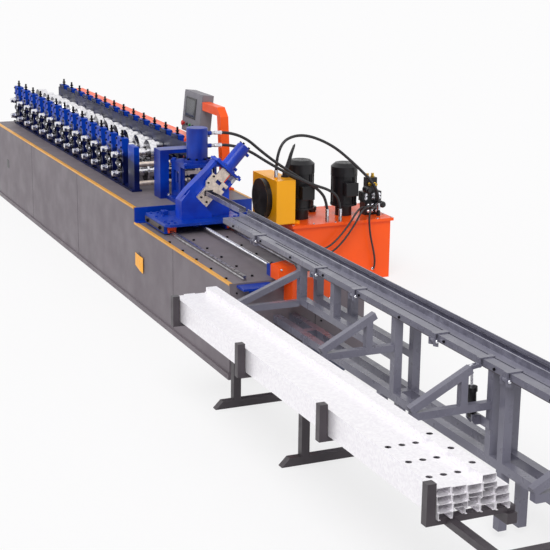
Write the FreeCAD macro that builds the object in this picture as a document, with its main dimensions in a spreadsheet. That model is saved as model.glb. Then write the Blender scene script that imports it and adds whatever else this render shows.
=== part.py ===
import FreeCAD, Part
import math
import os
import re

import Sketcher

os.makedirs("parts", exist_ok=True)
doc = FreeCAD.newDocument("roll_forming_machine")

# Driving sizes in millimetres. X runs along the feed direction from the step between
# the upper deck and the lower bed, Y across the machine from the pass line, Z up from the floor.
SIZES = [
    ("upper_left", -4750, "left end of the upper deck"),
    ("bed_right", 2007, "right end of the lower bed"),
    ("body_near", -470, "near side of the cabinet"),
    ("body_far", 540, "far side of the cabinet"),
    ("deck_top", 784, "top of the upper deck"),
    ("bed_top", 666, "top of the lower bed"),
    ("foot_high", 40, "base flange height"),
    ("foot_out", 12, "base flange reach outside the cabinet"),
    ("station_pitch", 298, "distance between roll stations"),
    ("last_station", -960, "position of the thirteenth station"),
    ("housing_wide", 160, "roll stand width along the line"),
    ("housing_thick", 45, "roll stand thickness across the line"),
    ("housing_y", 247.5, "stand centre from the pass line"),
    ("housing_top", 1185, "top of the roll stands"),
    ("cap_high", 92, "height of the thicker block on top of a stand"),
    ("cap_out", 7, "reach of that block beyond the stand face"),
    ("rail_high", 16, "rail under the stands"),
    ("chock_wide", 96, "bearing chock width"),
    ("chock_half", 40, "half height of a bearing chock"),
    ("seat_gap", 0.3, "clearance where one piece seats on another"),
    ("shaft_radius", 25, "roll shaft radius"),
    ("running_fit", 0.05, "radial clearance of a shaft in its bearing"),
    ("lower_axis", 878, "height of the lower shafts"),
    ("upper_axis", 1041, "height of the upper shafts"),
    ("lower_roll", 52, "working radius of the lower rolls"),
    ("roll_gap", 5, "gap between the rolls of a pair"),
    ("hub_radius", 38, "radius of the spacers beside the rolls"),
    ("web_width", 60, "outside width of the stud web"),
    ("flange_width", 33, "height of the stud flanges"),
    ("lip_width", 9, "width of the stud lips"),
    ("sheet_thick", 1.5, "sheet thickness"),
    ("screw_radius", 9, "adjusting screw radius"),
    ("screw_high", 62, "adjusting screw height above the stand"),
    ("beam_low", 1037, "underside of the long beam on the far stands"),
    ("beam_top", 1153, "top of that beam"),
    ("guard_top", 1120, "top of the chain guard"),
    ("press_x", -70, "punch cylinder position along the line"),
    ("press_y", 90, "punch cylinder position across the line"),
    ("press_top", 1105, "upper face of the press top plate"),
    ("plate_thick", 25, "press top plate thickness"),
    ("cylinder_radius", 86, "punch cylinder radius"),
    ("cylinder_high", 275, "punch cylinder height above the top plate"),
    ("ram_radius", 28, "punch ram radius"),
    ("punch_travel", 30, "punch stroke"),
    ("sled_left", 80, "left edge of the shear sled at rest"),
    ("sled_right", 570, "right edge of the shear sled at rest"),
    ("sled_near", -400, "near edge of the shear sled"),
    ("sled_far", 250, "far edge of the shear sled"),
    ("sled_low", 735, "underside of the sled plate"),
    ("sled_thick", 20, "sled plate thickness"),
    ("track_near", -342, "near linear rail"),
    ("track_far", 140, "far linear rail"),
    ("track_wide", 24, "linear rail width"),
    ("track_high", 34, "linear rail height"),
    ("screw_line", -75, "ball screw position across the bed"),
    ("screw_axis", 704, "ball screw height"),
    ("screw_size", 14, "ball screw radius"),
    ("shear_tilt", 47, "slope of the shear axis in degrees"),
    ("shear_y", 20, "a point on the shear axis across the line"),
    ("shear_z", 965, "height of that point"),
    ("tunnel_gap", 6, "clearance of the stud in the moving shear"),
    ("shear_ram", 18, "shear ram radius"),
    ("shear_barrel", 53, "shear cylinder radius"),
    ("tank_near", 920, "near side of the oil tank"),
    ("tank_far", 1830, "far side of the oil tank"),
    ("tank_left", -600, "left side of the oil tank"),
    ("tank_top", 500, "height of the oil tank"),
    ("lid_thick", 25, "tank lid thickness"),
    ("hose_size", 24, "outside diameter of the hoses"),
    ("table_left", 1100, "start of the run-out table"),
    ("table_right", 6250, "end of the run-out table"),
    ("table_top", 905, "top of the near table beam"),
    ("beam_high", 40, "height of the near table beam"),
    ("leg_line", -125, "near legs across the line"),
    ("far_line", -5, "far legs across the line"),
    ("tube", 50, "square tube of the table and rack"),
    ("arm_tube", 40, "square tube of the discharge arms"),
    ("middle_rail", 630, "height of the middle rail"),
    ("lower_rail", 395, "height of the lower rail"),
    ("hinge_y", -168, "trough hinge across the line"),
    ("hinge_z", 870, "trough hinge height"),
    ("pin_radius", 6, "hinge pin radius"),
    ("lever", 38, "length of the tipping lever"),
    ("lever_angle", 188, "lever direction at rest in degrees"),
    ("swivel_y", -193, "lower pin of the tipping cylinder across the line"),
    ("swivel_z", 600, "height of that pin"),
    ("lever_x", 4600, "tipping cylinder position along the line"),
    ("rack_pitch", 1042, "distance between rack arms"),
    ("first_rack", 2475, "first rack arm"),
    ("rack_top", 601, "top of the rack arms"),
    ("rack_tube", 44, "square tube of the rack arms"),
    ("rack_near", -1044, "near end of the rack arms"),
    ("rack_arm", 28, "height of the rack arms"),
    ("rack_post", -625, "rack posts across the line"),
    ("foot_near", -773, "near end of the foot tubes"),
    ("stack_left", 2358, "left end of the stack"),
    ("stack_right", 5641, "right end of the stack"),
    ("stack_pitch", 71.3, "distance between columns of the stack"),
    ("layer_pitch", 34.2, "distance between layers of the stack"),
]
names = {name for name, value, note in SIZES}
sizes = {name: float(value) for name, value, note in SIZES}

sheet = doc.addObject("Spreadsheet::Sheet", "Sizes")
for row, (name, value, note) in enumerate(SIZES, start=1):
    sheet.set("A%d" % row, note)
    sheet.set("B%d" % row, str(value))
    sheet.setAlias("B%d" % row, name)
doc.recompute()

NODES = []
counter = [0]


def linked(text):
    """Turn size names in a formula into references to the sheet."""
    return re.sub(r"[a-z_]+", lambda m: "Sizes." + m.group(0) if m.group(0) in names else m.group(0), text)


def bind(obj, prop, value):
    """Set a property from a formula string or a plain number."""
    if isinstance(value, str):
        obj.setExpression(prop, linked(value))
    else:
        obj.setExpression(prop, repr(float(value)))


def unique(stem):
    """Give every helper solid its own name."""
    counter[0] += 1
    return "%s_%d" % (stem, counter[0])


def block(x, y, z):
    """Box between low and high limits on each axis."""
    solid = doc.addObject("Part::Box", unique("block"))
    for prop, place, (low, high) in (("Length", "x", x), ("Width", "y", y), ("Height", "z", z)):
        bind(solid, prop, "(%s) - (%s)" % (high, low))
        bind(solid, ".Placement.Base." + place, str(low))
    return solid


TURNS = {
    "x": FreeCAD.Rotation(FreeCAD.Vector(0, 1, 0), 90),
    "y": FreeCAD.Rotation(FreeCAD.Vector(1, 0, 0), -90),
    "z": FreeCAD.Rotation(),
}


def rod(axis, start, radius, length):
    """Cylinder along an axis from a start point."""
    solid = doc.addObject("Part::Cylinder", unique("rod"))
    solid.Placement = FreeCAD.Placement(FreeCAD.Vector(), TURNS[axis])
    bind(solid, "Radius", radius)
    bind(solid, "Height", length)
    for place, value in zip("xyz", start):
        bind(solid, ".Placement.Base." + place, value)
    return solid


def hexagon(axis, start, radius, length):
    """Hexagonal nut along an axis."""
    solid = doc.addObject("Part::Prism", unique("nut"))
    solid.Placement = FreeCAD.Placement(FreeCAD.Vector(), TURNS[axis])
    solid.Polygon = 6
    bind(solid, "Circumradius", radius)
    bind(solid, "Height", length)
    for place, value in zip("xyz", start):
        bind(solid, ".Placement.Base." + place, value)
    return solid


def new_body():
    """Empty part design body."""
    return doc.addObject("PartDesign::Body", unique("body"))


def drawn(body, role, loops, offset):
    """Sketch of closed loops on an origin plane, each corner tied to two formulas."""
    sketch = body.newObject("Sketcher::SketchObject", unique("sketch"))
    plane = [part for part in body.Origin.OriginFeatures if part.Role == role][0]
    sketch.AttachmentSupport = [(plane, "")]
    sketch.MapMode = "FlatFace"
    bind(sketch, ".AttachmentOffset.Base.z", offset)
    first = 0
    for corners in loops:
        count = len(corners)
        turn = 2 * math.pi / count
        ring = [FreeCAD.Vector(100 * math.cos(turn * k), 100 * math.sin(turn * k), 0) for k in range(count)]
        sketch.addGeometry([Part.LineSegment(a, b) for a, b in zip(ring, ring[1:] + ring[:1])], False)
        for k in range(count):
            sketch.addConstraint(Sketcher.Constraint("Coincident", first + k, 2, first + (k + 1) % count,
                                                     1))
        for k, corner in enumerate(corners):
            for kind, guess, value in zip(("DistanceX", "DistanceY"), ring[k], corner):
                tied = isinstance(value, str)
                start = guess if tied else float(value)
                number = sketch.addConstraint(Sketcher.Constraint(kind, -1, 1, first + k, 1, start))
                if tied:
                    sketch.setExpression("Constraints[%d]" % number, linked(value))
        first += count
    return sketch


def add_pad(body, role, loops, low, high):
    """Pad on a body between two limits along the normal of an origin plane."""
    start = "-(%s)" % high if role == "XZ_Plane" else "%s" % low
    pad = body.newObject("PartDesign::Pad", unique("pad"))
    pad.Profile = drawn(body, role, loops, start)
    bind(pad, "Length", "(%s) - (%s)" % (high, low))
    return pad


def plate(role, loops, low, high):
    """Body made by one pad."""
    body = new_body()
    add_pad(body, role, loops, low, high)
    return body


def turned(outline, centre):
    """Body turned about the Y axis through a centre, from an outline of (y, radius) corners."""
    body = new_body()
    turn = body.newObject("PartDesign::Revolution", unique("turn"))
    sketch = drawn(body, "YZ_Plane", [outline], 0)
    turn.Profile = sketch
    turn.ReferenceAxis = (sketch, ["H_Axis"])
    turn.Angle = 360.0
    for place, value in zip("xyz", centre):
        bind(body, ".Placement.Base." + place, value)
    return body


def joined(label, solids):
    """Node whose solids are one fused body."""
    node = solids[0]
    if len(solids) > 1:
        node = doc.addObject("Part::MultiFuse", label)
        node.Shapes = solids
    node.Label = label
    NODES.append(node)
    return node


def grouped(label, solids):
    """Node of like solids that stand apart on one body."""
    node = doc.addObject("Part::Compound", label)
    node.Links = solids
    node.Label = label
    NODES.append(node)
    return node


def fused(solids):
    """Helper fusion that isn't a node."""
    solid = doc.addObject("Part::MultiFuse", unique("fuse"))
    solid.Shapes = solids
    return solid


def cut(base, tools):
    """Helper cut that isn't a node."""
    solid = doc.addObject("Part::Cut", unique("cut"))
    solid.Base = base
    solid.Tool = tools[0] if len(tools) == 1 else fused(tools)
    return solid


def hose(label, points, diameter):
    """Node of one hose along straight runs joined by tangent arcs."""
    corners = [FreeCAD.Vector(*point) for point in points]
    radius = diameter / 2.0
    edges = []
    bends = []
    here = corners[0]
    for before, corner, after in zip(corners, corners[1:], corners[2:]):
        back = before - corner
        ahead = after - corner
        reach = 0.45 * min(back.Length, ahead.Length)
        back.normalize()
        ahead.normalize()
        half = math.acos(back.dot(ahead)) / 2.0
        bend = reach * math.tan(half)
        middle = back + ahead
        middle.normalize()
        centre = corner + middle * (reach / math.cos(half))
        start = corner + back * reach
        end = corner + ahead * reach
        edges.append(Part.makeLine(here, start))
        edges.append(Part.Arc(start, centre - middle * bend, end).toShape())
        bends.append(bend)
        here = end
    edges.append(Part.makeLine(here, corners[-1]))
    route = Part.Wire(edges)
    ring = Part.Wire(Part.makeCircle(radius, corners[0], corners[1] - corners[0]))
    node = doc.addObject("Part::Feature", label)
    node.Shape = route.makePipeShell([ring], True, True)
    node.Label = label
    NODES.append(node)
    section = math.pi * radius * radius * route.Length
    print("%s length %.0f, bends %s, volume ratio %.4f" % (
        label, route.Length, " ".join("%.0f" % bend for bend in bends), node.Shape.Volume / section))
    return node


def station(i):
    """Position formula of station i, counted from one at the entry."""
    return "(last_station + (%d) * station_pitch)" % (i - 13)


def channel(y, z, width, high, lip, thick):
    """Corners of a C section with its web below and its lips above, drawn in the YZ plane."""
    near, far, low, top = y, "%s + %s" % (y, width), z, "%s + %s" % (z, high)
    return [
        (near, low), (far, low), (far, top), ("%s - %s" % (far, lip), top),
        ("%s - %s" % (far, lip), "%s - %s" % (top, thick)),
        ("%s - %s" % (far, thick), "%s - %s" % (top, thick)),
        ("%s - %s" % (far, thick), "%s + %s" % (low, thick)),
        ("%s + %s" % (near, thick), "%s + %s" % (low, thick)),
        ("%s + %s" % (near, thick), "%s - %s" % (top, thick)),
        ("%s + %s" % (near, lip), "%s - %s" % (top, thick)),
        ("%s + %s" % (near, lip), top), (near, top),
    ]


# Heights that follow from the rolls: the strip runs on top of the lower rolls
PASS = "(lower_axis + lower_roll)"
UPPER_ROLL = "(upper_axis - lower_axis - lower_roll - roll_gap)"
pass_line = sizes["lower_axis"] + sizes["lower_roll"]
SLED_TOP = "(sled_low + sled_thick)"
LID_TOP = "(tank_top + lid_thick)"

# Cabinet: stepped side profile drawn across the machine, with a flange round its foot
cabinet_side = [
    ("upper_left", 0), ("upper_left", "deck_top"), (0, "deck_top"), (0, "bed_top"),
    ("bed_right", "bed_top"), ("bed_right", 0),
]
joined("base_cabinet", [
    plate("XZ_Plane", [cabinet_side], "body_near", "body_far"),
    block(("upper_left - foot_out", "bed_right + foot_out"),
          ("body_near - foot_out", "body_far + foot_out"),
          (0, "foot_high")),
])

# Roll stands: one housing with a window for the chocks, repeated along a rail
STAND_LOW = "(deck_top + rail_high)"
WINDOW_LOW = "(lower_axis - chock_half)"
WINDOW_TOP = "(upper_axis + chock_half + seat_gap)"
WINDOW_HALF = "(chock_wide / 2 + seat_gap)"


def stand_row(side):
    """Rail, housings with windows and thicker caps of one row as a pattern."""
    middle = "%d * housing_y" % side
    inner = "%s - housing_thick / 2" % middle
    outer = "%s + housing_thick / 2" % middle
    first = station(1)
    left = "%s - housing_wide / 2" % first
    right = "%s + housing_wide / 2" % first
    body = new_body()
    rail = [(left, "deck_top"), (left, STAND_LOW),
            ("last_station + station_pitch + housing_wide / 2", STAND_LOW),
            ("last_station + station_pitch + housing_wide / 2", "deck_top")]
    add_pad(body, "XZ_Plane", [rail], inner + " - 20", outer + " + 20")
    frame = [(left, STAND_LOW), (right, STAND_LOW), (right, "housing_top"), (left, "housing_top")]
    window = [("%s - %s" % (first, WINDOW_HALF), WINDOW_LOW),
              ("%s + %s" % (first, WINDOW_HALF), WINDOW_LOW),
              ("%s + %s" % (first, WINDOW_HALF), WINDOW_TOP),
              ("%s - %s" % (first, WINDOW_HALF), WINDOW_TOP)]
    housing = add_pad(body, "XZ_Plane", [frame, window], inner, outer)
    low = "housing_top - cap_high"
    head = [(left, low), (right, low), (right, "housing_top"), (left, "housing_top")]
    cap = add_pad(body, "XZ_Plane", [head], inner + " - cap_out", outer + " + cap_out")
    row = body.newObject("PartDesign::LinearPattern", unique("row"))
    row.Originals = [housing, cap]
    row.Direction = (cap.Profile[0], ["H_Axis"])
    bind(row, "Length", "12 * station_pitch")
    row.Occurrences = 13
    body.Tip = row
    return body


near_row = cut(stand_row(-1), [
    rod("y", (station(i), "-housing_y - housing_thick / 2 - cap_out - 5", "housing_top - 45"), 20, 11)
    for i in range(1, 14)
])
end_x = "last_station + station_pitch"
near_end = block((end_x + " - housing_wide / 2", end_x + " + housing_wide / 2"),
                 ("-housing_y - housing_thick / 2", "-housing_y + housing_thick / 2"), (STAND_LOW, 1158))
far_end = block((end_x + " - housing_wide / 2", end_x + " + housing_wide / 2"),
                ("housing_y - housing_thick / 2", "housing_y + housing_thick / 2"), (STAND_LOW, "beam_top"))
beam_near = "housing_y - housing_thick / 2 - cap_out - 5"
long_beam = cut(block((station(1) + " - 104", "press_x - 180 - seat_gap"),
                      (beam_near, "housing_y - housing_thick / 2"), ("beam_low", "beam_top")),
                [rod("y", (station(i), beam_near + " - 1", "upper_axis"), "shaft_radius + 5", "cap_out + 7")
                 for i in range(1, 14)])
grouped("roll_stands", [fused([near_row, near_end]), fused([stand_row(1), far_end, long_beam])])

# Bearing chocks that sit in the windows, with the bores of both shafts
chocks = []
for i in range(1, 14):
    for side in (-1, 1):
        for axis in ("lower_axis", "upper_axis"):
            y0 = "%d * housing_y - housing_thick / 2 - 6" % side
            y1 = "%d * housing_y + housing_thick / 2 + 6" % side
            if axis == "upper_axis":
                y0 = "%d * housing_y - housing_thick / 2" % side
                y1 = "%d * housing_y + housing_thick / 2" % side
            body = block((station(i) + " - chock_wide / 2", station(i) + " + chock_wide / 2"), (y0, y1),
                         (axis + " - chock_half", axis + " + chock_half"))
            bore = rod("y", (station(i), y0 + " - 1", axis), "shaft_radius + running_fit",
                       "(%s) - (%s) + 2" % (y1, y0))
            chocks.append(cut(body, [bore]))
grouped("bearing_chocks", chocks)

# Adjusting screws with their lock nuts on every housing
screws = []
for i in range(1, 14):
    for side in (-1, 1):
        foot = (station(i), "%d * housing_y" % side, "housing_top")
        screws.append(fused([rod("z", foot, "screw_radius", "screw_high"),
                             hexagon("z", foot, "screw_radius + 6", 12)]))
grouped("adjusting_screws", screws)

# Roll shafts. The flange angle grows from flat at the first station to upright at the last,
# so each lower roll gets steeper side rings and each upper roll a narrower working face.
SHAFT_END = "(housing_y + housing_thick / 2 + 70)"
COLLAR = "(housing_y + housing_thick / 2 + cap_out + 1)"
INSIDE = "(housing_y - housing_thick / 2 - cap_out - 11)"
upper_half = sizes["web_width"] / 2 - sizes["sheet_thick"]
upper_roll = sizes["upper_axis"] - pass_line - sizes["roll_gap"]
shoulder = upper_roll - 46
for i in range(1, 14):
    x = station(i)
    angle = math.radians(88.0 * (i - 1) / 12)
    run = (sizes["flange_width"] + 2) * math.cos(angle)
    rise = (sizes["flange_width"] + 2) * math.sin(angle)
    ring_in = "web_width / 2 + roll_gap - sheet_thick"
    half = [
        (ring_in, "lower_roll"),
        ("%s + %.3f" % (ring_in, run), "lower_roll + %.3f" % rise),
        ("%s + %.3f" % (ring_in, run + 16), "lower_roll + %.3f" % rise),
        ("%s + %.3f" % (ring_in, run + 16), "hub_radius"),
        (INSIDE, "hub_radius"), (INSIDE, "shaft_radius"),
    ]
    if i == 1:
        half = half[2:]
    near = [("-(%s)" % y, radius) for y, radius in reversed(half)]
    ends = [("-%s" % SHAFT_END, 0), ("-%s" % SHAFT_END, "shaft_radius"),
            ("-%s - 22" % COLLAR, "shaft_radius"),
            ("-%s - 22" % COLLAR, "shaft_radius + 8"), ("-%s" % COLLAR, "shaft_radius + 8"),
            ("-%s" % COLLAR, "shaft_radius")]
    tail = [(SHAFT_END, "shaft_radius"), (SHAFT_END, 0)]
    outline = ends + near + half + tail
    nut = hexagon("y", (x, "-%s - 44" % COLLAR, "lower_axis"), "shaft_radius + 5", 22)
    joined("lower_roll_%02d" % i, [turned(outline, (x, 0, "lower_axis")), nut])

    slope = math.tan(angle)
    face = "web_width / 2 - sheet_thick"
    reach = 46 / slope if slope > 0 else 99.0
    if reach < 16.5:
        half = [(face, UPPER_ROLL), ("%s + %.3f" % (face, reach), UPPER_ROLL + " - 46"),
                (face + " + 16.5", UPPER_ROLL + " - 46")]
    elif i > 1:
        half = [(face, UPPER_ROLL), (face + " + 16.5", UPPER_ROLL + " - %.3f" % (16.5 * slope))]
    else:
        half = [(face + " + 16.5", UPPER_ROLL)]
    half += [(face + " + 16.5", "hub_radius"), (INSIDE, "hub_radius"), (INSIDE, "shaft_radius")]
    near = [("-(%s)" % y, radius) for y, radius in reversed(half)]
    nut = hexagon("y", (x, "-%s - 44" % COLLAR, "upper_axis"), "shaft_radius + 5", 22)
    joined("upper_roll_%02d" % i, [turned(ends + near + half + tail, (x, 0, "upper_axis")), nut])

# Chain guard behind the far stands, with a sloping front edge
guard_near = "housing_y + housing_thick / 2 + 80"
guard = [
    (guard_near, "deck_top"), (guard_near, "guard_top - 40"), (guard_near + " + 40", "guard_top"),
    ("body_far - 40", "guard_top"), ("body_far - 20", "guard_top - 25"), ("body_far - 20", "deck_top"),
]
joined("chain_guard", [plate("YZ_Plane", [guard], "upper_left + 50", "last_station - 170")])

# Entry guide: two side plates on a bracket with rollers either side of the strip slot
SLOT_LOW = PASS + " - 6"
entry = [
    block(("upper_left + 4", "upper_left + 114"), (-130, 130), ("deck_top", SLOT_LOW)),
    block(("upper_left + 4", "upper_left + 114"), (-130, -104), (SLOT_LOW, PASS + " + 14")),
    block(("upper_left + 4", "upper_left + 114"), (104, 130), (SLOT_LOW, PASS + " + 14")),
    block(("upper_left + 4", "upper_left + 114"), (-130, 130), (PASS + " + 14", PASS + " + 34")),
    rod("z", ("upper_left + 60", -90, PASS + " + 34"), 16, 70),
    rod("z", ("upper_left + 60", 90, PASS + " + 34"), 16, 70),
]
cross_rods = [
    rod("y", (-600, "-housing_y + housing_thick / 2", height), 20, "2 * housing_y - housing_thick")
    for height in (850, 1010)
]
grouped("strip_guides", [fused(entry)] + cross_rods)

# Punching press: frame post with cross bar, side plates with windows, top plate and cylinder
post_bar = block((-400, -250), (-160, 190), (1150, 1180))
post = block((-400, -250), (-160, -85), ("deck_top", 1152))
far_post = block((-400, -250), (190, "housing_y - housing_thick / 2 - 15"), ("deck_top", 1180))
PLATE_LOW = "(press_top - plate_thick)"
side_loops = [
    [("press_x - 150", "deck_top + 30"), ("press_x + 60", "deck_top + 30"), ("press_x + 60", PLATE_LOW),
     ("press_x - 150", PLATE_LOW)],
    [("press_x - 105", "deck_top + 80"), ("press_x + 15", "deck_top + 80"),
     ("press_x + 15", PLATE_LOW + " - 45"),
     ("press_x - 105", PLATE_LOW + " - 45")],
]
base_plate = block(("press_x - 190", "press_x + 70"), ("press_y - 200", "press_y + 170"),
                   ("deck_top", "deck_top + 30"))
die_block = block(("press_x - 95", "press_x + 30"), ("press_y - 150", "press_y + 80"),
                  ("deck_top + 30", PASS))
top_plate = block(("press_x - 180", "press_x + 150"), ("press_y - 165", "press_y + 145"),
                  (PLATE_LOW, "press_top"))
barrel = turned([(0, 0), (0, "cylinder_radius + 24"), (25, "cylinder_radius + 24"), (25, "cylinder_radius"),
                 ("cylinder_high - 6", "cylinder_radius"), ("cylinder_high", "cylinder_radius - 6"),
                 ("cylinder_high", 0)], (0, 0, 0))
barrel.Placement = FreeCAD.Placement(FreeCAD.Vector(), FreeCAD.Rotation(FreeCAD.Vector(1, 0, 0), 90))
for place, value in (("x", "press_x"), ("y", "press_y"), ("z", "press_top")):
    bind(barrel, ".Placement.Base." + place, value)
ports = []
for height in (225, 125):
    start = ("press_x + 10", "press_y + cylinder_radius - 4", "press_top + %d" % height)
    ports.append(rod("y", start, 17, 34))
    ports.append(rod("y", ("press_x + 10", "press_y + cylinder_radius + 30", "press_top + %d" % height),
                     "hose_size / 2 + 1", 56))
guides = [rod("z", ("press_x + %d" % dx, "press_y + %d" % dy, "deck_top + 30"), 13,
              PLATE_LOW + " - deck_top - 30")
          for dx in (-95, 50) for dy in (-136, 95)]
press = [post, far_post, post_bar, base_plate, die_block, top_plate, barrel]
for side_y in ("press_y - 165", "press_y + 125"):
    press.append(plate("XZ_Plane", [side_loops[0], side_loops[1]], side_y, side_y + " + 20"))
ram_hole = rod("z", ("press_x", "press_y", PLATE_LOW + " - 5"), "ram_radius + running_fit", 130)
joined("punch_press", [cut(fused(press + ports + guides), [ram_hole])])
ram_plate = block(("press_x - 70", "press_x + 25"), ("press_y - 138", "press_y + 80"),
                  (PASS + " + 80", PASS + " + 110"))
ram = [ram_plate, rod("z", ("press_x", "press_y", PASS + " + 105"), "ram_radius", 140)]
ram += [rod("z", ("press_x + %d" % dx, y, PASS + " + flange_width + punch_travel + 8"), 9,
            "76 - flange_width - punch_travel")
        for dx in (-60, 10) for y in (-12, 12)]
joined("punch_ram", ram)

# Control box on a bent arm of square tube
arm = [
    ("press_x - 840", 1385), ("press_x - 840", 1455), ("press_x - 500", 1455), ("press_x - 420", 1385),
    ("press_x - 350", "deck_top"), ("press_x - 430", "deck_top"), ("press_x - 500", 1385),
]
joined("control_arm", [
    plate("XZ_Plane", [arm], 458, 528),
    block(("press_x - 470", "press_x - 310"), (440, 538), ("deck_top", "deck_top + 15")),
])
box_side = [(430, 1160), (467, 1513), (565, 1503), (528, 1150)]
joined("control_box", [plate("YZ_Plane", [box_side], "press_x - 1280", "press_x - 840")])

# Linear rails with waisted section, ball screw and its drive
rails = []
for line in ("track_near", "track_far"):
    half = [("track_wide / 2", 0), ("track_wide / 2", "track_high * 0.3"),
            ("track_wide / 2 - 5", "track_high * 0.5"),
            ("track_wide / 2", "track_high * 0.75"), ("track_wide / 2", "track_high")]
    right = [("%s + %s" % (line, y), "bed_top + %s" % z) for y, z in half]
    left = [("%s - (%s)" % (line, y), "bed_top + %s" % z) for y, z in reversed(half)]
    rails.append(plate("YZ_Plane", [right + left], 60, "bed_right - 47"))
grouped("linear_rails", rails)
SCREW_END = "(bed_right - 150)"
joined("ball_screw", [rod("x", (40, "screw_line", "screw_axis"), "screw_size", SCREW_END)])
bearing_blocks = []
for x0, x1 in ((20, 66), (SCREW_END, "bed_right")):
    bearing = block((x0, x1), ("screw_line - 62", "screw_line + 62"), ("bed_top", "screw_axis + 40"))
    start = SCREW_END + " - 1" if x1 == "bed_right" else "39.7"
    hole = rod("x", (start, "screw_line", "screw_axis"), "screw_size + running_fit", 41.3)
    bearing_blocks.append(cut(bearing, [hole]))
shelf = block(("bed_right", "bed_right + 120"), (-420, "screw_line - 110"), (640, 655))
web = plate("XZ_Plane", [[("bed_right", 640), ("bed_right + 110", 640), ("bed_right", 530)]], -330, -318)
bearing_blocks.append(fused([shelf, web]))
grouped("drive_blocks", bearing_blocks)
belt_guard = [
    ("screw_line - 100", 690), ("screw_line - 100", 780), ("screw_line + 10", 795),
    ("screw_line + 60", 700),
    ("screw_line + 290", 700), ("screw_line + 290", 520), ("screw_line", 520), ("screw_line", 690),
]
joined("drive_guard", [plate("YZ_Plane", [belt_guard], "bed_right", "bed_right + 140")])
motor = turned([(0, 0), (0, 62), (14, 62), (14, 100), (30, 108), (250, 108), (262, 100), (330, 94),
                (340, 80),
                (340, 0)], (0, 0, 0))
motor.Placement = FreeCAD.Placement(FreeCAD.Vector(), FreeCAD.Rotation(FreeCAD.Vector(0, 0, 1), -90))
for place, value in (("x", "bed_right + 70"), ("y", "screw_line + 210"), ("z", 180)):
    bind(motor, ".Placement.Base." + place, value)
fins = [block(("bed_right + 110", "bed_right + 310"),
              ("screw_line + 210 - 3 + %d" % shift, "screw_line + 210 + 3 + %d" % shift),
              (90, 300)) for shift in (-60, -30, 0, 30, 60)]
feet = block(("bed_right + 120", "bed_right + 300"), ("screw_line + 120", "screw_line + 300"), (0, 78))
base = block(("bed_right + foot_out + seat_gap", "bed_right + 330"), ("screw_line + 100", "screw_line + 320"),
             (0, 16))
joined("drive_motor", [motor, feet, base] + fins)

# Shear sled: plate on saddles that wrap the rails, and the nut of the ball screw
saddles = []
widths = {"track_near": ("sled_near", "track_near + 34"), "track_far": ("track_far - 40", "track_far + 40")}
for line, (low, high) in widths.items():
    saddle = block(("sled_left", "sled_right - 50"), (low, high), ("bed_top + 12", "sled_low"))
    slot = block(("sled_left - 1", "sled_right"),
                 (line + " - track_wide / 2 - seat_gap", line + " + track_wide / 2 + seat_gap"),
                 ("bed_top", "bed_top + track_high + seat_gap"))
    saddles.append(cut(saddle, [slot]))
nut = cut(block((270, 380), ("screw_line - 40", "screw_line + 40"), ("screw_axis - 28", "sled_low")),
          [rod("x", (260, "screw_line", "screw_axis"), "screw_size + running_fit", 130)])
sled_outline = [
    ("sled_left", "sled_near"), ("sled_right - 30", "sled_near"), ("sled_right", "sled_near + 30"),
    ("sled_right", "sled_far"), ("sled_left", "sled_far"),
]
joined("sled", [plate("XY_Plane", [sled_outline], "sled_low", SLED_TOP), nut] + saddles)

# Inclined shear head
tilt = math.radians(sizes["shear_tilt"])


def inclined(s, t):
    """Point at distance s along the shear axis and t across it."""
    return (sizes["shear_y"] + s * math.cos(tilt) - t * math.sin(tilt),
            sizes["shear_z"] + s * math.sin(tilt) + t * math.cos(tilt))


def tilted_rod(x, s0, s1, radius):
    """Cylinder on the inclined shear axis."""
    solid = doc.addObject("Part::Cylinder", unique("rod"))
    y, z = inclined(s0, 0)
    solid.Placement = FreeCAD.Placement(FreeCAD.Vector(x, y, z),
                                        FreeCAD.Rotation(FreeCAD.Vector(1, 0, 0), sizes["shear_tilt"] - 90))
    bind(solid, "Radius", radius)
    bind(solid, "Height", s1 - s0)
    return solid


def tilted_plate(x0, x1, corners):
    """Plate across the line from (s, t) corners on the shear axis."""
    return plate("YZ_Plane", [[inclined(s, t) for s, t in corners]], x0, x1)


top = sizes["sled_low"] + sizes["sled_thick"]
head = plate("YZ_Plane",
             [[(-230, SLED_TOP), (-230, 900), (-160, 980), inclined(110, 120), inclined(110, -120),
                           (183, SLED_TOP)]], 300, 384)
TUNNEL = [("-web_width / 2 - tunnel_gap", "web_width / 2 + tunnel_gap"),
          (PASS + " - tunnel_gap", PASS + " + flange_width + tunnel_gap")]
cheeks = [tilted_plate(300, 384, [(105, t), (203, t), (203, t + 25), (105, t + 25)]) for t in (-120, 95)]
flange = tilted_plate(290, 430, [(200, -130), (200, 130), (220, 130), (220, -130)])
collar = tilted_rod(360, 218, 236, "shear_barrel + 12")
barrel = tilted_rod(360, 230, 425, "shear_barrel")
gland = tilted_rod(360, 420, 440, "shear_barrel - 6")
gusset = plate("YZ_Plane", [[(-230, SLED_TOP), (-230, 900), (-160, 980), (20, 790), (20, SLED_TOP)]], 420,
               435)
bridge = plate("YZ_Plane", [[(-230, SLED_TOP), (-230, 900), (-190, 940), (-190, SLED_TOP)]], 380, 425)
side_block = block((300, 384), (0, 160), (SLED_TOP, PASS + " - 10"))
ports = []
for s in (255, 400):
    port = doc.addObject("Part::Cylinder", unique("port"))
    y, z = inclined(s, 0)
    port.Placement = FreeCAD.Placement(FreeCAD.Vector(360, y, z),
                                       FreeCAD.Rotation(FreeCAD.Vector(1, 0, 0), sizes["shear_tilt"] - 180))
    port.Radius = 13
    bind(port, "Height", "shear_barrel + 26")
    ports.append(port)
shear = fused([head, flange, collar, barrel, gland, gusset, bridge, side_block] + cheeks + ports)
joined("shear_head",
       [cut(shear,
            [block((200, 500), TUNNEL[0], TUNNEL[1]),
             tilted_rod(360, 150, 400, "shear_ram + running_fit")])])
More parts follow.
